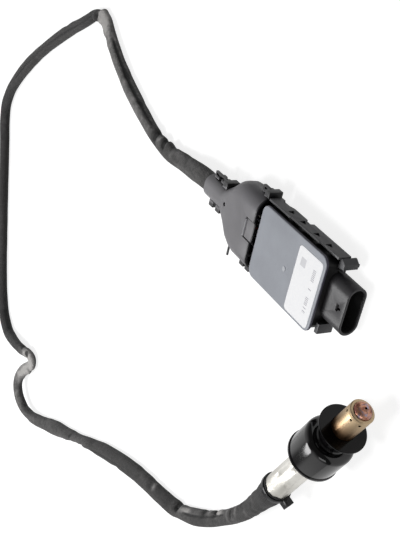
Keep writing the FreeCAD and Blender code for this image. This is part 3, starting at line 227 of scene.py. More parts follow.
class Finish(Graph):
    """A new material with one Principled shader, and the nodes that feed it."""

    def __init__(self, name, **constants):
        self.material = bpy.data.materials.new(name)
        self.material.use_nodes = True
        super().__init__(self.material.node_tree)
        self.shader = self.tree.nodes["Principled BSDF"]
        for socket, value in constants.items():
            self.shader.inputs[socket.replace("_", " ")].default_value = value

    def place(self, source="Object"):
        """The point being shaded, in metres, or its place on the piece's own UV map."""
        return self.node("ShaderNodeTexCoord", output=source)

    def along(self, source="Object"):
        """The three numbers of that place."""
        return [self.node("ShaderNodeSeparateXYZ", None, {0: self.place(source)}, output=i)
                for i in range(3)]

    def noise(self, scale, detail=3.0, rough=0.5, stretch=None):
        """Soft random patches, some scale of them to the metre, with finer ones on top."""
        where = self.place()
        if stretch:
            where = self.node("ShaderNodeMapping", None, {"Vector": where, "Scale": stretch})
        return self.node("ShaderNodeTexNoise", None,
                         {"Vector": where, "Scale": scale, "Detail": detail, "Roughness": rough})

    def openness(self, reach):
        """One in the open, nothing deep in a gap: how much clear space a point has round it."""
        return self.node("ShaderNodeAmbientOcclusion", {"samples": 8}, {"Distance": reach},
                         output="AO")

    def attribute(self, name):
        """A number kept with each point of the mesh."""
        return self.node("ShaderNodeAttribute", {"attribute_name": name}, output="Fac")

    def feed(self, socket, signal):
        """Links a signal to one of the shader's sockets, in place of what fed it."""
        self.tree.links.new(signal.socket, self.shader.inputs[socket])

    def fed(self, socket):
        """The signal that feeds one of the shader's sockets now."""
        return Signal(self, self.shader.inputs[socket].links[0].from_socket)

    def tint(self, share, colour):
        """Blends what feeds the base colour towards another colour."""
        self.feed("Base Color", self.blend(share, self.fed("Base Color"), colour))

    def relief(self, height, depth):
        """A bump whose full height is depth, in metres."""
        self.feed("Normal", self.node("ShaderNodeBump", None,
                                      {"Height": height, "Distance": depth, "Strength": 1.0}))


def dress(finish, *names):
    """Gives CAD nodes a finish."""
    for name in names:
        mesh = nodes[name].data
        mesh.materials.clear()
        mesh.materials.append(finish.material)


print("shader helpers ready")

# %% [markdown]
# ## Soft edges on the CAD pieces
#
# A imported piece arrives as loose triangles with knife-sharp edges. Real mouldings and turned
# parts have small radii that catch the light. The points themselves stay as they are: modifiers
# join the triangles, drop the seams inside flat faces, round the sharp edges and keep curved
# faces smooth.

# %% Modifiers for CAD pieces
SAME_POINT = 0.002 * MM
SAME_FACE = math.radians(0.6)
SHARP_EDGE = math.radians(35)
CREASE = math.radians(32)
EDGE_SEGMENTS = 2


def soften(name, radius):
    """Joins, cleans, rounds and smooths one CAD piece."""
    piece = nodes[name]
    for polygon in piece.data.polygons:
        polygon.use_smooth = True
    weld = piece.modifiers.new("join", "WELD")
    weld.merge_threshold = SAME_POINT
    clean = piece.modifiers.new("clean", "DECIMATE")
    clean.decimate_type = "DISSOLVE"
    clean.angle_limit = SAME_FACE
    if radius:
        edge = piece.modifiers.new("edge", "BEVEL")
        edge.width = radius
        edge.segments = EDGE_SEGMENTS
        edge.limit_method = "ANGLE"
        edge.angle_limit = SHARP_EDGE
        edge.use_clamp_overlap = True
        edge.harden_normals = False
    split = piece.modifiers.new("split", "EDGE_SPLIT")
    split.split_angle = CREASE


# the radius of each piece's edges, in mm
EDGES = {
    "unit_lid": 0.0, "rating_label": 0.0, "housing_tray": 0.25, "carrier_frame": 0.2,
    "hood_cover": 0.25, "hood_base": 0.25, "lid_gasket": 0.0, "circuit_board": 0.1,
    "board_chips": 0.15, "board_capacitors": 0.3, "wire_terminals": 0.15, "wire_seal": 0.2,
    "neck_collar": 0.2, "thread_guard": 0.0, "sensor_body": 0.0, "seal_ring": 0.2,
    "sheath_tube": 0.0, "outer_protection_tube": 0.0, "inner_protection_tube": 0.0,
    "ceramic_bush_rear": 0.1, "ceramic_bush_front": 0.1, "packing_ring": 0.1,
    "contact_holder": 0.2, "sensing_element": 0.1, "sheath_plug": 0.2, "probe_wires": 0.0,
    "lead_wires": 0.0, "cable_tie": 0.2,
}
PINS = ["connector_pin_%d" % number for number in range(1, 6)]
EDGES.update({name: 0.08 for name in PINS})
for name, radius in EDGES.items():
    soften(name, radius * MM)
print("softened", len(EDGES), "pieces")

# %% [markdown]
# ## Moulded plastics
#
# The tray, the carrier frame and the hood are glass-filled plastic with a fine spark-eroded
# grain. Two noises make it: a slow one that shifts the grey a little, as the flow of the melt
# does, and a fast one for the grain, which feeds a very shallow bump and the roughness. Shade is
# painted into the colour too: it falls off to near black where a point has little clear space
# round it, as in the plug's mouth and in the gap behind the lid.

# %% Moulded finishes
GAP = 9.0 * MM
DEEP, CLEAR = 0.12, 0.72
GAP_SHADE_SHARE = 0.03
GLINT_SHARE = 1.25
FOOT_SHADE_BLACK = (0.004, 0.004, 0.004)


def times(colour, share):
    """A colour made lighter or darker."""
    return tuple(c * share for c in colour)


def free_of_gap_shade(finish, gap=GAP):
    """The mask of the painted gap shade: nothing deep in a gap, one in the open, softly between.
    """
    return finish.openness(gap).spread(DEEP, CLEAR)


def moulded(name, colour, rough, drift=0.07, grain=0.00003, fine=2600.0, gap=GAP):
    """A plastic or ceramic moulding with a drifting tone, a fine grain and painted shade in its
    gaps.
    """
    finish = Finish(name, Roughness=rough, Specular_IOR_Level=0.35)
    slow = finish.noise(45.0)
    fast = finish.noise(fine, rough=0.6)
    tint = finish.blend(slow.spread(*USUAL), times(colour, 1 - drift), times(colour, 1 + drift))
    tint = finish.blend(fast.spread(0.3, 0.8) * 0.3, tint, times(colour, GLINT_SHARE))
    dim = times(colour, GAP_SHADE_SHARE)
    # painted shade: the colour falls to near black deep in gaps
    finish.feed("Base Color", finish.blend(free_of_gap_shade(finish, gap), dim, tint))
    finish.feed("Roughness", fast.spread(*USUAL, rough - 0.06, rough + 0.06))
    finish.relief(fast + slow * 0.4, grain)
    return finish


def shaded_low(finish, low, high, share):
    """Paints shade on a moulding, darker towards its foot, where it sees only its own dark sides.
    """
    height = finish.along()[2]
    finish.tint(height.spread(low, high, share, 0.0), FOOT_SHADE_BLACK)


carrier_finish = moulded("carrier_moulding", (0.080, 0.080, 0.085), 0.46)
hood_finish = moulded("hood_moulding", (0.170, 0.166, 0.176), 0.42)
# painted shade: the hood darkens towards its foot
shaded_low(hood_finish, low=5.0 * MM, high=15.5 * MM, share=0.72)
dress(carrier_finish, "carrier_frame")
dress(hood_finish, "hood_cover", "hood_base")
print("carrier and hood dressed")

# %% [markdown]
# The straps, lugs and catches stand out from the hood's sides. Their shade is painted into
# their colour, which is blacker than the big faces. A point belongs to them when it lies
# beyond the hood's own outline, which is straight at first and then runs in to the neck. Shade
# is painted on the hood's front lip too, so that a black line parts the hood from the lid, and
# the lip comes further forward at the square tab. The small ridge behind the tab has a pale
# painted highlight on its front and its left end.

# %% Hood details
HOOD_HALF = 26.4 * MM
NECK_HALF = 9.0 * MM
TAPER_START, TAPER_END = 63.0 * MM, 92.0 * MM
LIP_FRONT = 39.6 * MM
LIP_SHADE_START, LIP_SHADE_END = 0.7 * MM, 1.5 * MM
TAB_REACH = 1.1 * MM
TAB_LEFT, TAB_RIGHT = -4.8 * MM, 8.2 * MM
RIDGE_FRONT, RIDGE_BACK = 48.0 * MM, 49.2 * MM
RIDGE_LEFT, RIDGE_RIGHT = -4.2 * MM, 7.6 * MM
RIDGE_FOOT = 21.6 * MM
NEAR = 0.2 * MM
HOOD_SHADE_BLACK = (0.006, 0.006, 0.007)
RIDGE_HIGHLIGHT_GREY = (0.62, 0.62, 0.65)
hx, hy, hz = hood_finish.along()
outline = hy.spread(TAPER_START, TAPER_END, HOOD_HALF, NECK_HALF)
beyond = (hx.size() - outline).spread(0.3 * MM, 0.9 * MM)
on_ridge = (hx.within(RIDGE_LEFT - NEAR, RIDGE_RIGHT) * (hz > RIDGE_FOOT)
            * hy.within(RIDGE_FRONT - NEAR, RIDGE_BACK + NEAR))
lip = LIP_FRONT - hx.within(TAB_LEFT, TAB_RIGHT) * TAB_REACH
lip_shade = (hy - lip).spread(LIP_SHADE_START, LIP_SHADE_END, 0.94, 0.0)
ridge_highlight = on_ridge * (hy < RIDGE_FRONT + NEAR).most(hx < RIDGE_LEFT + NEAR)
# painted shade: near black on the straps, lugs and catches and on the front lip
hood_finish.tint((beyond * 0.8).most(lip_shade), HOOD_SHADE_BLACK)
# painted highlight: a pale line on the ridge's front and its left end
hood_finish.tint(ridge_highlight * 0.9, RIDGE_HIGHLIGHT_GREY)
print("hood details dressed")

# %% [markdown]
# ## The tray and its mouth
#
# The tray is one moulding, but it meets the eye as two: the walls under the lid, which stay in
# its shade, and the plug's shroud in front. Shade is painted into the walls under the lid, and
# near black into the shroud's inside, which is also made dull. The mouth's outline is a flat
# oval, so a point is inside when its distance from the oval's middle line is less than the
# oval's half height.

# %% Tray finish
MOUTH_LEVEL = 7.6 * MM
MOUTH_HALF_LINE = 9.2 * MM
MOUTH_HALF_HEIGHT = 5.5 * MM
MOUTH_START, MOUTH_DARK = 0.2 * MM, 1.8 * MM
SHROUD_END, UNDER_LID = 18.0 * MM, 19.4 * MM
MOUTH_SHADE_BLACK = (0.003, 0.003, 0.003)
tray_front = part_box("housing_tray")[0].y
tray_finish = moulded("tray_moulding", (0.044, 0.043, 0.046), 0.42, gap=4.5 * MM)
tx, ty, tz = tray_finish.along()
aside = (tx.size() - MOUTH_HALF_LINE).most(0.0)
above = tz - MOUTH_LEVEL
inside = aside * aside + above * above < MOUTH_HALF_HEIGHT ** 2
in_mouth = inside * ty.spread(tray_front + MOUTH_START, tray_front + MOUTH_DARK)
under_lid = ty.spread(tray_front + SHROUD_END, tray_front + UNDER_LID)
# painted shade: near black inside the mouth, darker on the walls under the lid
tray_finish.tint(in_mouth.most(under_lid * 0.75), MOUTH_SHADE_BLACK)
tray_finish.feed("Roughness", tray_finish.fed("Roughness") + in_mouth * 0.5)
dress(tray_finish, "housing_tray")
print("tray dressed")

# %% [markdown]
# ## The lid
#
# The lid is a pressed sheet with a matt blue-grey coat. Seen close it isn't even: broad cloudy
# patches, a fine orange-peel skin and a few short rubs from handling. The rubs are a stretched
# noise, cut off high so that only its peaks show. The rolled rim has painted shade, darker and
# slightly violet, and the pip in the middle has a pale painted highlight, with painted shade
# round its side.

# %% Lid finish
LID_TOP = 20.5 * MM
RIM_START, RIM_END = LID_TOP - 0.6 * MM, LID_TOP - 0.02 * MM
PIP_FOOT, PIP_SIDE = LID_TOP + 0.005 * MM, LID_TOP + 0.03 * MM
PIP_EDGE, PIP_TOP = LID_TOP + 0.04 * MM, LID_TOP + 0.2 * MM
COAT_DARK, COAT_PALE = (0.272, 0.286, 0.320), (0.318, 0.336, 0.374)
RUB_GREY, RIM_SHADE_VIOLET = (0.40, 0.42, 0.46), (0.058, 0.052, 0.085)
PIP_SHADE_GREY, PIP_HIGHLIGHT_GREY = (0.16, 0.17, 0.20), (0.62, 0.63, 0.66)
lid_finish = Finish("lid_coat", Roughness=0.42, Metallic=0.0)
clouds = lid_finish.noise(38.0, 5.0, 0.55)
skin = lid_finish.noise(1500.0, 2.0, 0.5)
rubs = lid_finish.noise(60.0, 6.0, 0.7, stretch=(1.0, 7.0, 1.0)).spread(0.66, 0.74)
height = lid_finish.along()[2]
rim = height.spread(RIM_START, RIM_END, 1.0, 0.0)
pip = height.spread(PIP_EDGE, PIP_TOP)
pip_ring = height.spread(PIP_FOOT, PIP_SIDE) * (1.0 - pip)
coat = lid_finish.blend(clouds.spread(*USUAL), COAT_DARK, COAT_PALE)
coat = lid_finish.blend(rubs * 0.35, coat, RUB_GREY)
# painted shade on the rolled rim, darker and slightly violet
coat = lid_finish.blend(rim * 0.95, coat, RIM_SHADE_VIOLET)
# painted shade round the pip's side
coat = lid_finish.blend(pip_ring * 0.6, coat, PIP_SHADE_GREY)
# painted highlight on the pip's top
coat = lid_finish.blend(pip * clouds.spread(0.4, 0.55), coat, PIP_HIGHLIGHT_GREY)
lid_finish.feed("Base Color", coat)
lid_finish.feed("Roughness", skin.spread(*USUAL, 0.36, 0.46) - rubs * 0.05)
lid_finish.relief(skin + clouds * 0.6, 0.00003)
dress(lid_finish, "unit_lid")
print("lid dressed")

# %% [markdown]
# ## The label
#
# A white film label with rounded corners. Its print is kept plain and says nothing: two runs of
# faint grey ticks and one small grey square. The ticks come from the place on the lid: a run of
# slots of equal width, of which some are left blank by chance.

# %% Label finish
SLOT = 1.15 * MM
BLANK_SHARE = 0.35
TICK_START, TICK_END = 0.1, 0.62
ROW = (-29.0 * MM, -26.0 * MM)
FIRST_RUN, SECOND_RUN = (-15.6 * MM, 1.2 * MM), (4.4 * MM, 14.2 * MM)
SQUARE_ACROSS, SQUARE_ALONG = (9.2 * MM, 14.8 * MM), (-18.2 * MM, -12.9 * MM)
PAPER_DULL, PAPER_WHITE = (0.955, 0.96, 0.98), (0.99, 0.99, 1.0)
INK_GREY = (0.34, 0.34, 0.38)
label_finish = Finish("label_film", Roughness=0.35)
x, y, _ = label_finish.along()
inked = label_finish.luck((x / SLOT).whole()) > BLANK_SHARE
ticks = (x / SLOT).part().within(TICK_START, TICK_END) * inked
runs = (x.within(*FIRST_RUN) + x.within(*SECOND_RUN)).least(1.0)
square = x.within(*SQUARE_ACROSS) * y.within(*SQUARE_ALONG)
ink = (ticks * y.within(*ROW) * runs * 0.8 + square * 0.42).least(1.0)
grain = label_finish.noise(900.0, 2.0)
paper = label_finish.blend(grain.spread(*USUAL), PAPER_DULL, PAPER_WHITE)
label_finish.feed("Base Color", label_finish.blend(ink, paper, INK_GREY))
label_finish.feed("Roughness", grain.spread(*USUAL, 0.3, 0.42))
label_finish.relief(grain, 0.00001)
dress(label_finish, "rating_label")
print("label dressed")

# %% [markdown]
# ## Rubber, board and pins
#
# Most of these lie inside and are seen only if the unit is opened, but each has its own stuff:
# matt rubber, a green laminate, dark epoxy, tinned and gold-coloured metal.

# %% Inner finishes
def rubbery(name, colour):
    """Soft matt black rubber or pressed cloth, with dust on it and painted shade in its gaps."""
    finish = Finish(name, Roughness=0.8)
    dust = finish.noise(400.0, 4.0, 0.6)
    dusty = tuple(c * 1.8 + 0.01 for c in colour)
    grey = finish.blend(dust.spread(0.4, 0.8), colour, dusty)
    # painted shade: near black deep in gaps
    finish.feed("Base Color", finish.blend(free_of_gap_shade(finish), (0.001, 0.001, 0.001), grey))
    finish.feed("Roughness", dust.spread(*USUAL, 0.7, 0.9))
    finish.relief(dust, 0.00004)
    return finish


def metal(name, colour, rough, brushed=(1.0, 1.0, 1.0)):
    """Bare metal with fine marks that run the way it was turned or drawn."""
    finish = Finish(name, Metallic=1.0, Roughness=rough)
    marks = finish.noise(900.0, 4.0, 0.6, stretch=brushed)
    slow = finish.noise(90.0)
    finish.feed("Base Color", finish.blend(slow.spread(*USUAL), times(colour, 0.9), colour))
    finish.feed("Roughness", marks.spread(0.25, 0.75, rough * 0.75, rough * 1.25))
    finish.relief(marks, 0.000006)
    return finish


dress(rubbery("seal_rubber", (0.025, 0.025, 0.027)), "wire_seal", "neck_collar", "sheath_plug")
dress(rubbery("gasket_rubber", (0.018, 0.018, 0.018)), "lid_gasket")
dress(metal("can_metal", (0.78, 0.78, 0.79), 0.3), "board_capacitors")
dress(metal("terminal_tin", (0.72, 0.70, 0.64), 0.35), "wire_terminals")
dress(metal("pin_plating", (0.20, 0.165, 0.10), 0.45, brushed=(1.0, 0.1, 1.0)), *PINS)
# name, colour, roughness, drift of the tone, depth and scale of the grain, and the pieces
MOULDINGS = [
    ("chip_epoxy", (0.03, 0.03, 0.032), 0.6, 0.15, 0.00002, 4000.0, ["board_chips"]),
    ("tie_moulding", (0.006, 0.006, 0.007), 0.3, 0.3, 0.00006, 900.0, ["cable_tie"]),
    ("fired_ceramic", (0.80, 0.77, 0.70), 0.5, 0.06, 0.00002, 1800.0,
     ["ceramic_bush_rear", "ceramic_bush_front", "contact_holder"]),
    ("pressed_talc", (0.62, 0.61, 0.58), 0.85, 0.1, 0.00004, 1400.0, ["packing_ring"]),
    ("element_ceramic", (0.84, 0.83, 0.80), 0.45, 0.05, 0.00001, 2500.0, ["sensing_element"]),
]
for *made_of, pieces in MOULDINGS:
    dress(moulded(*made_of), *pieces)
print("rubber, metals and ceramics dressed")

# %% [markdown]
# The board's copper shows through its green mask as a grid of tracks. The wires' jackets have
# colours of their own: a wire is told from the next by the lane that it lies in.

# %% Board and wires
TRACK_ACROSS, TRACK_ALONG = 2.4 * MM, 3.1 * MM
JACKET_COLOURS = [(0.0, (0.02, 0.02, 0.02)), (0.3, (0.30, 0.30, 0.31)), (0.55, (0.42, 0.05, 0.04)),
                  (0.8, (0.60, 0.58, 0.52)), (1.0, (0.05, 0.12, 0.35))]
board_finish = Finish("board_laminate", Roughness=0.35)
bx, by, _ = board_finish.along()
tracks = (bx / TRACK_ACROSS).part().within(0.3, 0.5) + (by / TRACK_ALONG).part().within(0.35, 0.5)
tracks = tracks.least(1.0)
weave = board_finish.noise(700.0, 2.0)
mask = board_finish.blend(weave.spread(*USUAL), (0.012, 0.10, 0.04), (0.02, 0.14, 0.06))
board_finish.feed("Base Color", board_finish.blend(tracks * 0.7, mask, (0.04, 0.22, 0.10)))
board_finish.relief(tracks + weave * 0.2, 0.00004)
dress(board_finish, "circuit_board")


def jackets(name, across, spacing):
    """Wire jackets: each wire has its own colour, told apart by where it lies."""
    finish = Finish(name, Roughness=0.3)
    lane = (finish.along()[across] / spacing).whole()
    hue = finish.ramp(finish.luck(lane), JACKET_COLOURS)
    scuff = finish.noise(600.0)
    finish.feed("Base Color", finish.blend(scuff.spread(0.5, 0.8) * 0.2, hue, (0.3, 0.3, 0.3)))
    finish.relief(scuff, 0.00001)
    return finish


dress(jackets("lead_jackets", across=0, spacing=3.0 * MM), "lead_wires")
dress(jackets("probe_jackets", across=2, spacing=2.2 * MM), "probe_wires")
print("board and wires dressed")

# %% [markdown]
# ## The probe's metals and its cap
#
# The probe lies at an angle, so its finishes first work out how far along its axis a point is.
# The sheath is drawn tube that was dented and wiped, so it mirrors the room in soft uneven
# patches. The protection tube has been warmed in a furnace: brass and straw tints, brown where it
# enters the cap. Heat has left the small dome at its tip mottled in copper, plum and blue.

# %% Probe metals
PROBE = Vector((-57.9, -85.2, 17.05)) * MM
AXIS = Vector((0.89455, -0.44698, 0.0))
TURNING_MARKS = 9000.0


def probe_reach(finish):
    """How far a point is along the probe's axis, in metres, the tip positive."""
    offset = finish.node("ShaderNodeVectorMath", {"operation": "SUBTRACT"},
                         {0: finish.place(), 1: tuple(PROBE)})
    return finish.dot(offset, tuple(AXIS))


def tinted_metal(name, cool, warm, start, end, rough, blotch=0.25, waves=0.00001):
    """Turned or drawn metal, tinted by heat between two places on the axis."""
    finish = Finish(name, Metallic=1.0, Roughness=rough)
    reach = probe_reach(finish)
    marks = (reach * TURNING_MARKS + finish.noise(300.0, 2.0) * 6.0).sine()
    cloud = finish.noise(160.0, 4.0, 0.6)
    swell = finish.noise(75.0, 2.0, 0.4)
    heat = (reach.spread(start, end) + (cloud - MIDDLE) * blotch * 2.0).most(0.0).least(1.0)
    finish.feed("Base Color", finish.blend(heat, cool, warm))
    finish.feed("Roughness", cloud * 0.12 + marks * 0.02 + (rough - 0.06))
    finish.relief(swell + (marks * 0.3 + cloud) * 0.05, waves)
    return finish


sheath_finish = tinted_metal(
    "sheath_steel", cool=(0.60, 0.585, 0.54), warm=(0.76, 0.745, 0.70),
    start=-75 * MM, end=-55 * MM, rough=0.38, blotch=0.9, waves=0.7 * MM)
outer_finish = tinted_metal(
    "outer_tube_steel", cool=(0.10, 0.045, 0.018), warm=(0.50, 0.38, 0.24),
    start=-3 * MM, end=24 * MM, rough=0.44, blotch=0.10, waves=0.2 * MM)
body_finish = tinted_metal(
    "body_steel", cool=(0.74, 0.73, 0.70), warm=(0.74, 0.70, 0.64),
    start=-50 * MM, end=-10 * MM, rough=0.3)
dress(sheath_finish, "sheath_tube")
dress(outer_finish, "outer_protection_tube")
dress(body_finish, "sensor_body", "seal_ring")

HEAT_COLOURS = [(0.30, (0.10, 0.04, 0.04)), (0.43, (0.34, 0.14, 0.10)),
                (0.52, (0.66, 0.33, 0.20)), (0.60, (0.42, 0.26, 0.26)),
                (0.70, (0.38, 0.40, 0.52))]
dome_finish = Finish("inner_tube_steel", Metallic=0.85, Roughness=0.35)
patches = dome_finish.noise(230.0, 4.0, 0.62)
streaks = dome_finish.noise(520.0, rough=0.7, stretch=(1.0, 1.0, 0.4))
soot = streaks.spread(0.55, 0.7) * 0.6
heated = dome_finish.ramp(patches, HEAT_COLOURS)
dome_finish.feed("Base Color", dome_finish.blend(soot, heated, (0.05, 0.025, 0.03)))
dome_finish.feed("Roughness", streaks.spread(*USUAL, 0.24, 0.5))
dome_finish.relief(patches, 0.00008)
dress(dome_finish, "inner_protection_tube")
print("probe metals dressed")

# %% [markdown]
# The cap is one glossy black moulding with a very slight flow ripple and a few specks of dust.
# Its gloss is a coat over a plain black body. The thin disc at its front has less of that coat,
# so that it stays nearly black where it faces the pale floor.

# %% Cap finish
DISC_START, DISC_FULL = -2.2 * MM, -1.2 * MM
SKIRT_COAT, DISC_COAT = 0.82, 0.20
cap_finish = Finish("cap_gloss", Roughness=0.1, Specular_IOR_Level=0.12, Coat_Roughness=0.1)
reach = probe_reach(cap_finish)
flow = cap_finish.noise(60.0)
specks = cap_finish.noise(1200.0, 2.0, 0.6).spread(0.70, 0.76)
black = cap_finish.blend(specks * 0.25, (0.0020, 0.0018, 0.0022), (0.08, 0.08, 0.08))
cap_finish.feed("Base Color", black)
cap_finish.feed("Roughness", flow.spread(*USUAL, 0.07, 0.15) + specks * 0.2)
cap_finish.feed("Coat Weight", reach.spread(DISC_START, DISC_FULL, SKIRT_COAT, DISC_COAT))
cap_finish.relief(flow, 0.00010)
dress(cap_finish, "thread_guard")
print("cap dressed")

# %% [markdown]
# ## The sleeve's route
#
# The cable lies on the ground in a loose loop. Its line is one smooth NURBS curve through the
# air between listed points: straight out of the hood, down to the ground, round the loop
# with the two sharp folds that the limp sleeve takes, over a low arch after the second of them,
# and up into the rear of the probe.

# %% Route
# x, y and z in mm
ROUTE = [
    (0, 107.5, 10.4), (0, 125, 10.4), (-5.5, 150, 8), (-10.5, 182, 6), (-10.5, 207, 6),
    (-2, 240, 6), (13, 283, 6), (33, 320, 6), (45, 338, 6), (42.5, 357, 6), (31, 372, 6),
    (14.6, 401.8, 6), (-10, 440, 6), (-41, 481.5, 6), (-74, 518.5, 6), (-104, 543, 6),
    (-128, 549.5, 6), (-156, 541.5, 6), (-195, 530, 6), (-250, 515.5, 6), (-300, 500.5, 6),
    (-331, 488.5, 6), (-348, 473, 6), (-354, 455, 6), (-350, 430, 6), (-343.5, 408, 6),
    (-337.5, 393.5, 6), (-341, 384.5, 6), (-352, 390, 6), (-366, 404.5, 7),
    (-385.5, 408.5, 9), (-398.5, 394, 9), (-400, 374, 7.5), (-391, 348, 6),
    (-373, 316, 6), (-338, 252, 6), (-303, 186, 6), (-284, 139, 6), (-273, 97, 6),
    (-261.5, 64, 6), (-240, 33, 6), (-216, 8.5, 6.2), (-189, -14.5, 10.5),
    (-157.1954, -35.5851, 17.05), (-139.3044, -44.5247, 17.05),
]
ROUTE_STEPS = 24
curve = bpy.data.curves.new("sleeve_route", "CURVE")
curve.dimensions = "3D"
curve.resolution_u = ROUTE_STEPS
spline = curve.splines.new("NURBS")
spline.points.add(len(ROUTE) - 1)
for point, place in zip(spline.points, ROUTE):
    point.co = (*[v * MM for v in place], 1.0)
spline.order_u = 3
spline.use_endpoint_u = True
route = link("sleeve_route", curve)
bpy.context.view_layer.update()
line = bpy.data.meshes.new_from_object(route)
path = [Vector(v.co) for v in line.vertices]
bpy.data.objects.remove(route)
steps = [(b - a).length for a, b in zip(path, path[1:])]
sleeve_length = sum(steps)
print("sleeve length %.3f m, %d points" % (sleeve_length, len(path)))

# %% [markdown]
# ## The sleeve itself
#
# The sleeve is a limp woven tube around thin wires. Empty of stiffness, it lies flat where
# nothing fills it, turns over like a ribbon and buckles where it bends. A round tube along the
# route would look like hose, so each ring is an oval with its own width, thickness and turn,
# taken from a table along the length. Each ring sits on the ground by its lowest point, or a few
# millimetres above it where the cloth arches.
#
# Two more tables shape the cloth on top of the ovals. A groove is a long fold line. A buckle is
# a short dent with a raised lip before and after it, as a bent tube of cloth makes on the inside
# of its bend, and one with a negative depth is a corner that sticks out. The last two tables are
# about colour: where the cloth is rubbed thin over a fold its pale fibres show, and they also
# hold painted light and shade, paler where a facet is lit and darker where it lies in shade.

# %% Sleeve tables
# distance from the hood in mm, half the width, half the thickness, turn in degrees
SHAPE = [
    (0, 7.4, 5.6, 0), (12, 7.6, 5.2, 0), (40, 7.8, 4.8, 8), (70, 7.6, 4.8, 14), (84, 8.0, 4.4, 8),
    (98, 6.6, 4.4, 4), (124, 6.2, 4.8, 0), (160, 6.6, 5.0, 0), (200, 6.6, 4.8, 4),
    (226, 6.8, 4.4, 0), (243, 6.6, 3.6, -6), (256, 5.0, 4.2, -20), (280, 5.4, 4.6, -14),
    (360, 5.8, 4.8, -6), (450, 6.2, 4.8, 0), (600, 6.4, 4.8, 10), (700, 6.6, 5.0, 10),
    (770, 7.2, 5.4, 0), (812, 7.8, 5.0, -25), (832, 6.4, 4.6, -30), (852, 6.8, 3.8, -12),
    (885.5, 6.2, 4.2, 10), (913.5, 5.6, 4.2, 30), (938.5, 5.0, 3.9, 40), (968.5, 6.0, 4.2, 30),
    (1013.5, 7.4, 4.4, 25), (1049.5, 6.2, 4.0, 60), (1075.5, 5.2, 3.9, 84),
    (1098.5, 5.8, 4.2, 55), (1135.5, 7.0, 4.6, 22), (1183.5, 7.0, 4.6, 16),
    (1229.5, 7.4, 4.6, 10), (1265.5, 6.8, 4.6, 24), (1281.5, 5.8, 4.8, 36),
    (1303.5, 6.6, 4.8, 30), (1343.5, 5.8, 5.0, 20), (1373.5, 6.0, 5.4, 10),
    (1405.5, 6.4, 6.0, 0), (1423.5, 7.2, 7.0, 0), (1437.5, 8.7, 8.7, 0), (1442.5, 9.0, 9.0, 0),
]
# distance in mm, and how far the cloth's underside is off the ground, in mm
ARCH = [
    (0, 0.0), (852, 0.0), (866, 0.8), (880, 2.4), (895, 4.2), (910, 4.8), (926, 4.4), (945, 2.8),
    (965, 1.2), (985, 0.0), (1443, 0.0),
]
# from and to in mm, place round the ring in degrees (0 right, 90 top, 180 left), depth in mm
GROOVES = [
    (20, 84, 128, 0.6), (106, 226, 20, 1.25), (252, 470, 112, 1.0), (480, 780, 70, 0.7),
    (1100, 1193.5, 60, 1.0), (1281.5, 1363.5, 118, 1.3),
]
# distance in mm, place round the ring, length in mm, depth in mm
BUCKLES = [
    (46, 30, 7, 0.6), (74, 20, 5, 0.9), (88, 24, 4.6, 3.2), (103, 44, 4.2, 2.8),
    (142, 0, 6, 0.6), (176, 10, 7, 0.6), (224, 160, 6, 1.0), (248, 0, 4.0, -1.3),
    (253, 110, 3.6, 2.0), (262, 175, 5, 1.4), (320, 10, 9, 0.5), (405, 150, 9, 0.6),
    (520, 170, 9, 0.8), (548, 150, 8, 0.7), (640, 120, 12, 0.5), (748, 160, 8, 0.8),
    (774, 170, 7, 1.0), (806, 80, 7, 0.9), (828, 170, 5, 1.4), (840, 100, 4.5, 2.2),
    (858, 180, 5, 1.0), (905.5, 10, 6, 0.6), (929.5, 190, 6, 0.6), (947.5, 20, 6, 0.5),
    (988.5, 160, 8, 0.7), (1061.5, 90, 6, 1.2), (1087.5, 60, 6, 0.9), (1113.5, 160, 9, 0.6),
    (1163.5, 30, 9, 0.6), (1209.5, 150, 7, 0.9), (1229.5, 140, 4.5, 1.3),
    (1245.5, 150, 5, 0.5), (1276.5, 150, 4.6, 2.9), (1320.5, 160, 4.4, 1.3),
    (1338.5, 158, 4.6, 1.9), (1370.5, 115, 3.8, 1.9), (1396.5, 150, 3.6, 0.7),
    (1416.5, 70, 3.2, 0.6),
]
# distance in mm, and how pale the cloth is there, from rubbing and painted light and shade
WEAR_AND_LIGHT = [
    (0, 0.36), (60, 0.42), (84, 0.25), (95, 0.38), (103, 0.1), (118, 0.6), (150, 0.62),
    (200, 0.66), (226, 0.78), (238, 0.92), (250, 0.88), (255, 0.05), (300, 0.22), (420, 0.16),
    (520, 0.04), (760, 0.0), (812, 0.0), (828, 0.5), (840, 0.98), (866, 1.0), (884, 0.74),
    (902, 0.5), (943.5, 0.4), (983.5, 0.34), (1073.5, 0.36), (1133.5, 0.26), (1203.5, 0.2),
    (1249.5, 0.25), (1260.5, 0.0), (1273.5, 0.35), (1297.5, 0.35), (1313.5, 0.2),
    (1329.5, 0.35), (1353.5, 0.25), (1373.5, 0.35), (1398.5, 0.16), (1442.5, 0.08),
]
# distance in mm, place round the ring, length in mm, how much paler the cloth is there, from
# rubbing and painted highlight
PALE_WEAR_AND_HIGHLIGHT = [
    (62, 10, 6, 0.2), (72, 60, 5, 0.2), (95, 25, 1.8, 0.22), (234, 70, 9, 0.35),
    (247, 20, 6, 0.3), (848, 90, 14, 0.35), (879.5, 120, 8, 0.3), (918.5, 120, 22, 0.3),
    (958.5, 100, 14, 0.2), (1073.5, 110, 20, 0.15), (1211.5, 120, 7, 0.25),
    (1235.5, 150, 2.6, 0.6), (1290.5, 150, 10, 0.85), (1309.5, 150, 6, 0.4),
    (1329.5, 170, 3, 0.45), (1345.5, 150, 8, 0.95), (1362.5, 130, 4, 0.3),
    (1381.5, 120, 3, 0.4), (1401.5, 70, 2.6, 0.3), (1421.5, 120, 2.0, 0.3),
]
print(len(SHAPE), "ovals,", len(GROOVES), "grooves and", len(BUCKLES), "buckles")

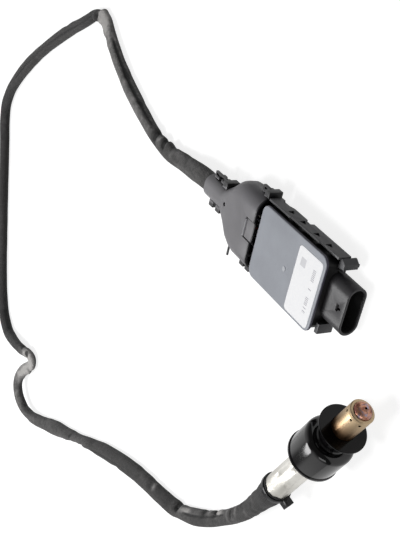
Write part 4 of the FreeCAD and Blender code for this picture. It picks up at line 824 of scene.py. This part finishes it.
# %% [markdown]
# The tables are read with a few small functions. A distance is in mm from the hood, an angle in
# radians round the ring. The cloth also ripples a little everywhere, in waves that run both along
# it and round it, and it is gathered into fine creases on its way to the tie.

# %% Reading the tables
# a hump is as good as nothing beyond so many of its widths
HUMP_END = 3.0
# widths round the ring in radians, and how much each mm of its depth widens a dent
PALE_WIDTH, GROOVE_WIDTH, CORNER_WIDTH = 0.7, 0.24, 0.55
DENT_WIDTH, DENT_WIDER = 0.62, 0.13
# how far the lips on both sides of a dent stand up
DENT_LIP = 1.3
GROOVE_END = 14.0
GATHER_START, GATHER_FULL, GATHER_END = 1350.0, 1400.0, 1427.0
GATHER_FADE = 8.0
# heights in mm of the creases across the cloth and of the pleats along it, and the pleats' number
CREASE_HEIGHT, PLEAT_HEIGHT, PLEATS = 0.22, 0.24, 7
# length in mm, waves round the ring, height in mm
RIPPLES = [(17.0, 2, 0.16), (29.0, -3, 0.15)]
# a finer one, and the length over which it comes and goes
FINE_RIPPLE = (4.1, 3, 0.06)
FINE_SWELL = 37.0


def ease(part):
    """Smooths a value from 0 to 1 at both its ends."""
    part = max(0.0, min(1.0, part))
    return part * part * (3 - 2 * part)


def between_rows(table, distance):
    """The row of a table at a distance, eased between its neighbours."""
    for low, high in zip(table, table[1:]):
        if distance <= high[0]:
            part = ease((distance - low[0]) / (high[0] - low[0]))
            return [a + (b - a) * part for a, b in zip(low[1:], high[1:])]
    return list(table[-1][1:])


def hump(distance, width):
    """One at no distance, falling smoothly to nothing well beyond the width."""
    return math.exp(-(distance / width) ** 2)


def apart(angle, degrees):
    """How far two places round the ring are apart, in radians."""
    gap = (angle - math.radians(degrees)) % (2 * math.pi)
    return min(gap, 2 * math.pi - gap)


def paler(d, angle):
    """Paler than the ring at a distance and an angle, from rubbing and painted highlight."""
    return sum(more * hump(d - middle, length) * hump(apart(angle, place), PALE_WIDTH)
               for middle, place, length, more in PALE_WEAR_AND_HIGHLIGHT
               if abs(d - middle) < HUMP_END * length)


def pucker(d, angle):
    """Fine creases where the cloth is gathered towards the tie, in mm."""
    gather = (ease((d - GATHER_START) / (GATHER_FULL - GATHER_START))
              * ease((GATHER_END - d) / GATHER_FADE))
    wander = 2.6 * math.sin(angle + d / 23.0)
    crease = math.sin(d / 1.9 + wander) * math.sin(angle * 2 + d / 11.0)
    pleat = math.sin(angle * PLEATS + d / 9.0)
    return gather * (CREASE_HEIGHT * crease + PLEAT_HEIGHT * pleat)


def groove_depth(d, angle):
    """How deep the fold lines are, in mm."""
    deep = 0.0
    for start, end, place, depth in GROOVES:
        if start < d < end:
            along = ease((d - start) / GROOVE_END) * ease((end - d) / GROOVE_END)
            deep += depth * along * hump(apart(angle, place), GROOVE_WIDTH)
    return deep


def buckle_depth(d, angle):
    """How deep the dents are, in mm, with the raised lip before and after each."""
    deep = 0.0
    for middle, place, length, depth in BUCKLES:
        step = (d - middle) / length
        if abs(step) < HUMP_END:
            width = CORNER_WIDTH if depth < 0 else DENT_WIDTH + DENT_WIDER * depth
            around = hump(apart(angle, place), width)
            deep += depth * (1.0 - DENT_LIP * step * step) * hump(step, 1.0) * around
    return deep


def crumple(d, angle):
    """How far the cloth stands out from its oval at a distance and an angle, in mm."""
    out = sum(high * math.sin(d / length + waves * angle) for length, waves, high in RIPPLES)
    length, waves, high = FINE_RIPPLE
    out += math.sin(d / length + waves * angle) * math.sin(d / FINE_SWELL) * high
    return out + pucker(d, angle) - groove_depth(d, angle) - buckle_depth(d, angle)


print("creases up to %.1f mm deep" % max(depth for *_, depth in BUCKLES))

# %% [markdown]
# The rings follow the points read from the route. Each is turned with the route's direction, so
# that its first point is always on the right-hand side. The cloth's own map goes once round and
# on along the length. Each point keeps its tone, from rubbing and painted light and shade, and
# how far it stands out from its oval.

# %% Sleeve mesh
RING_STEP = 1.5 * MM
SIDES = 44
ANGLES = [2 * math.pi * k / SIDES for k in range(SIDES)]
LIE = 0.1 * MM
ROUND_END = 9.0 * MM
HUNG, LAID = 9.0 * MM, 6.5 * MM
MAP_REPEAT = 40.0 * MM
UP = Vector((0, 0, 1))


def point_at(distance):
    """A point on the route and its direction."""
    run = 0.0
    for start, end, step in zip(path, path[1:], steps):
        if run + step >= distance or end is path[-1]:
            part = (distance - run) / step if step else 0.0
            return start.lerp(end, min(1.0, max(0.0, part))), (end - start).normalized()
        run += step


def piece_from(name, build, mesh):
    """Ends the building of a mesh and makes a piece of it."""
    bmesh.ops.recalc_face_normals(build, faces=build.faces)
    build.to_mesh(mesh)
    build.free()
    return link(name, mesh)


sleeve_mesh = bpy.data.meshes.new("sleeve_mesh")
build = bmesh.new()
uv = build.loops.layers.uv.new("weave")
wear_and_light_layer = build.verts.layers.float.new("wear_and_light")
rise_layer = build.verts.layers.float.new("rise")
count = int(sleeve_length / RING_STEP)
rings = []
for i in range(count + 1):
    distance = sleeve_length * i / count
    centre, ahead = point_at(distance)
    d = SHAPE[-1][0] * i / count
    half_wide, half_thick, turn = between_rows(SHAPE, d)
    wear_and_light_here, = between_rows(WEAR_AND_LIGHT, d)
    off_ground, = between_rows(ARCH, d)
    side = ahead.cross(UP).normalized()
    lift = side.cross(ahead).normalized()
    near_end = ease(min(distance, sleeve_length - distance) / ROUND_END)
    rises = [crumple(d, angle) * near_end for angle in ANGLES]
    points = []
    for angle, rise in zip(ANGLES, rises):
        # the oval lies turned under the cloth, but the dents keep their place on the ring
        own = angle - math.radians(turn)
        radius = (half_wide * half_thick
                  / math.hypot(half_thick * math.cos(own), half_wide * math.sin(own)))
        points.append((side * math.cos(angle) + lift * math.sin(angle)) * (radius + rise) * MM)
    low = min(p.z for p in points)
    laid = ease((HUNG - centre.z) / (HUNG - LAID)) * near_end
    shift = UP * ((LIE + off_ground * MM - low - centre.z) * laid)
    ring = [build.verts.new(centre + shift + p) for p in points]
    for vert, angle, rise in zip(ring, ANGLES, rises):
        # each point's tone, from rubbing and painted light and shade
        vert[wear_and_light_layer] = wear_and_light_here + paler(d, angle)
        vert[rise_layer] = rise
    rings.append(ring)
for i in range(count):
    for k in range(SIDES):
        n = (k + 1) % SIDES
        face = build.faces.new((rings[i][k], rings[i][n], rings[i + 1][n], rings[i + 1][k]))
        face.smooth = True
        for loop, (du, dv) in zip(face.loops, ((0, 0), (1, 0), (1, 1), (0, 1))):
            loop[uv].uv = ((k + du) / SIDES, (i + dv) / count * sleeve_length / MAP_REPEAT)
build.faces.new(rings[0][::-1])
build.faces.new(rings[-1])
sleeve = piece_from("woven_sleeve", build, sleeve_mesh)
print("sleeve mesh:", len(sleeve_mesh.vertices), "points,", len(sleeve_mesh.polygons), "faces")

# %% [markdown]
# ## The woven finish
#
# The cloth is a fine plain braid. Its threads cross at a slant on the sleeve's own UV map, which
# goes once round and on along the length, so that the weave follows every bend. The grey is
# lifted in patches by the tone kept with the points, from rubbing and painted light, by slow
# noises and on raised cloth, and painted shade makes the dents and the narrow places dark.

# %% Sleeve finish
THREADS = 22.0
CREASE_REACH = 10.0 * MM
FADE_SHARE, MOTTLE_SHARE, RISE_SHARE = 0.5, 0.9, 0.16
WEAR_AND_LIGHT_COLOURS = [(0.0, (0.006, 0.0058, 0.006)), (0.3, (0.030, 0.0285, 0.028)),
                (0.6, (0.12, 0.117, 0.116)), (0.85, (0.30, 0.29, 0.285)),
                (1.0, (0.50, 0.485, 0.47))]
sleeve_finish = Finish("sleeve_weave", Roughness=0.75, Sheen_Weight=0.08, Sheen_Roughness=0.5)
u, v, _ = sleeve_finish.along("UV")
over = ((u + v) * THREADS * math.pi * 2).sine()
under = ((u - v) * THREADS * math.pi * 2).sine()
threads = over.most(under)
faded = sleeve_finish.noise(24.0, 5.0, 0.6)
fuzz = sleeve_finish.noise(900.0, rough=0.6)
mottle = sleeve_finish.noise(210.0, 6.0, 0.75)
wear_and_light = sleeve_finish.attribute("wear_and_light")
rise = sleeve_finish.attribute("rise")
# tone from rubbing and painted light and shade, from slow noises, and paler on raised cloth
tone_wear_and_light = (wear_and_light + (faded - MIDDLE) * FADE_SHARE + (mottle - MIDDLE) * MOTTLE_SHARE
        + rise.spread(0.1, 1.2) * RISE_SHARE)
cloth = sleeve_finish.ramp(tone_wear_and_light, WEAR_AND_LIGHT_COLOURS)
cloth = sleeve_finish.blend(threads.spread(-0.6, 1.0) * 0.12, cloth, (0.085, 0.081, 0.079))
cloth = sleeve_finish.blend(fuzz.spread(0.55, 0.8) * 0.16, cloth, (0.14, 0.134, 0.130))
# painted shade: the dents go near black
cloth = sleeve_finish.blend(rise.spread(-1.1, -0.15, 0.95, 0.0), cloth, (0.004, 0.004, 0.004))
# painted shade: near black deep in creases and narrow places
clear = sleeve_finish.openness(CREASE_REACH).spread(0.2, 0.95)
sleeve_finish.feed("Base Color", sleeve_finish.blend(clear, (0.006, 0.006, 0.006), cloth))
sleeve_finish.feed("Roughness", fuzz.spread(*USUAL, 0.66, 0.84))
sleeve_finish.relief(threads * 0.4 + fuzz * 0.4 + mottle * 1.6, 0.00030)
sleeve_mesh.materials.append(sleeve_finish.material)
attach(sleeve, "root")
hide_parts("cable_sleeve")
print("sleeve dressed")

# %% [markdown]
# ## The sleeve's frayed end
#
# Where the cloth ends it is pulled over the sheath and tied down. Under the tie it is pressed to
# a thin skin, and in front of the tie its cut edge stands up a little and frays into uneven
# teeth. It is a thin ring swept round the sheath, with a different front edge at each angle.

# %% Cuff
# places along the probe's axis and radii in mm
CUFF_BACK = -90.95
TIE_FRONT = -86.6
CUFF_FRONT = -84.9
SKIN, OVER_SHEATH = 8.93, 9.03
CUFF_SIDES = 120
# place along the ring from the tie's front (0) to the cut edge (1), and radius in mm
CUFF_LIP = [(0.0, 9.03), (0.2, 9.5), (0.55, 9.62), (0.85, 9.4), (1.0, 9.1)]
# number of teeth round the edge, phase in radians, height
TEETH = [(5, 1.0, 0.5), (13, 0.0, 0.45), (31, 2.0, 0.35)]
# the height of the finest teeth, one for every two sides, and the share of all that is used
FINEST, FRAYED = 0.3, 0.8


def fray(k, angle):
    """How far the cut edge runs forward, in mm."""
    teeth = sum(high * math.sin(number * angle + start) for number, start, high in TEETH)
    return (teeth + FINEST * (-1) ** k) * FRAYED


cuff_mesh = bpy.data.meshes.new("cuff_mesh")
build = bmesh.new()
sideways = Vector((-AXIS.y, AXIS.x, 0.0))
columns = []
for k in range(CUFF_SIDES):
    angle = 2 * math.pi * k / CUFF_SIDES
    out = sideways * math.cos(angle) + UP * math.sin(angle)
    edge = CUFF_FRONT + fray(k, angle)
    profile = [(CUFF_BACK, SKIN), (CUFF_BACK, OVER_SHEATH)]
    profile += [(TIE_FRONT + (edge - TIE_FRONT) * part, radius) for part, radius in CUFF_LIP]
    profile.append((edge, SKIN))
    columns.append([build.verts.new(PROBE + (AXIS * reach + out * radius) * MM)
                    for reach, radius in profile])
for k, column in enumerate(columns):
    after = columns[(k + 1) % CUFF_SIDES]
    for i in range(len(column)):
        j = (i + 1) % len(column)
        build.faces.new((column[i], column[j], after[j], after[i]))
cuff = piece_from("sleeve_cuff", build, cuff_mesh)
cuff_mesh.materials.append(rubbery("cuff_weave", (0.008, 0.008, 0.008)).material)
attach(cuff, "root")
print("cuff:", len(cuff_mesh.vertices), "points")

# %% [markdown]
# ## The studio
#
# The floor is a pale sheet that runs out of the picture on all sides. It shines with some light
# of its own to the camera, so that it is white where nothing shades it and still holds the
# object's soft shadow. Gloss and metal mirror that light a little dimmer, and matt things don't
# receive any of it.

# %% Floor
FLOOR_SIZE = 12.0
FLOOR_LEVEL = -0.2 * MM
GLOW_SEEN, GLOW_MIRRORED = 0.84, 0.62
bpy.ops.mesh.primitive_plane_add(size=FLOOR_SIZE, location=(0, 0, FLOOR_LEVEL))
floor = bpy.context.object
floor.name = "floor_sheet"
paper_finish = Finish("floor_paper", Roughness=0.9, Base_Color=(0.34, 0.34, 0.34, 1.0),
                      Specular_IOR_Level=0.0, Emission_Color=(1.0, 1.0, 1.0, 1.0))
glow = (paper_finish.ray("Is Camera Ray") * GLOW_SEEN).most(
    paper_finish.ray("Is Glossy Ray") * GLOW_MIRRORED)
paper_finish.feed("Emission Strength", glow)
floor.data.materials.append(paper_finish.material)
print("floor laid")

# %% [markdown]
# The room that gloss and metal mirror is white overhead and at the back, and dim behind the
# camera, as a studio is. The world's one shader is written as a graph too, on the world's own
# node tree. The level of its light depends on which kind of ray asks: plain white for the camera,
# a soft fall-off with a dim band through it for mirrors, and a low even level for everything that
# scatters light.

# %% Room
ROOM_LEVEL = 0.11
BRIGHT_SIDE = (-0.55, 0.55, 0.63)
ACROSS_ROOM = (0.447, 0.894, 0.0)
BAND_MIDDLE = 0.08
world = bpy.data.worlds.new("white_room")
world.use_nodes = True
bpy.context.scene.world = world
room = Graph(world.node_tree)
look = room.node("ShaderNodeTexCoord", output="Generated")
dim_band = (room.dot(look, ACROSS_ROOM) - BAND_MIDDLE).size().spread(0.12, 0.42, 0.2, 1.0)
mirror_level = room.dot(look, BRIGHT_SIDE).spread(-0.1, 0.8, 0.12, 1.0) * dim_band
for_mirror = room.ray("Is Glossy Ray") * mirror_level
level = room.ray("Is Camera Ray").most(for_mirror).most(ROOM_LEVEL)
sky = room.tree.nodes["Background"]
sky.inputs["Color"].default_value = (1.0, 1.0, 1.0, 1.0)
room.tree.links.new(level.socket, sky.inputs["Strength"])
print("room ready")

# %% [markdown]
# A broad soft light stands high at the back left and a weak fill in front. There is nothing on
# the right, so that the sides which face right fall into shade.

# %% Lamps
def softbox(name, place, aim, width, power):
    """A square soft light at a place, turned towards its aim, in metres and watts."""
    lamp = bpy.data.lights.new(name, "AREA")
    lamp.shape = "SQUARE"
    lamp.size = width
    lamp.energy = power
    stand = link(name, lamp)
    stand.location = place
    stand.rotation_euler = (Vector(aim) - Vector(place)).to_track_quat("-Z", "Y").to_euler()


softbox("overhead_softbox", place=(-0.75, 0.45, 1.5), aim=(-0.1, 0.15, 0.0), width=0.9, power=25.5)
softbox("front_softbox", place=(-0.35, -1.3, 0.8), aim=(0.0, 0.0, 0.0), width=0.7, power=3.6)
bpy.context.scene.view_settings.view_transform = "Standard"
print("studio ready")
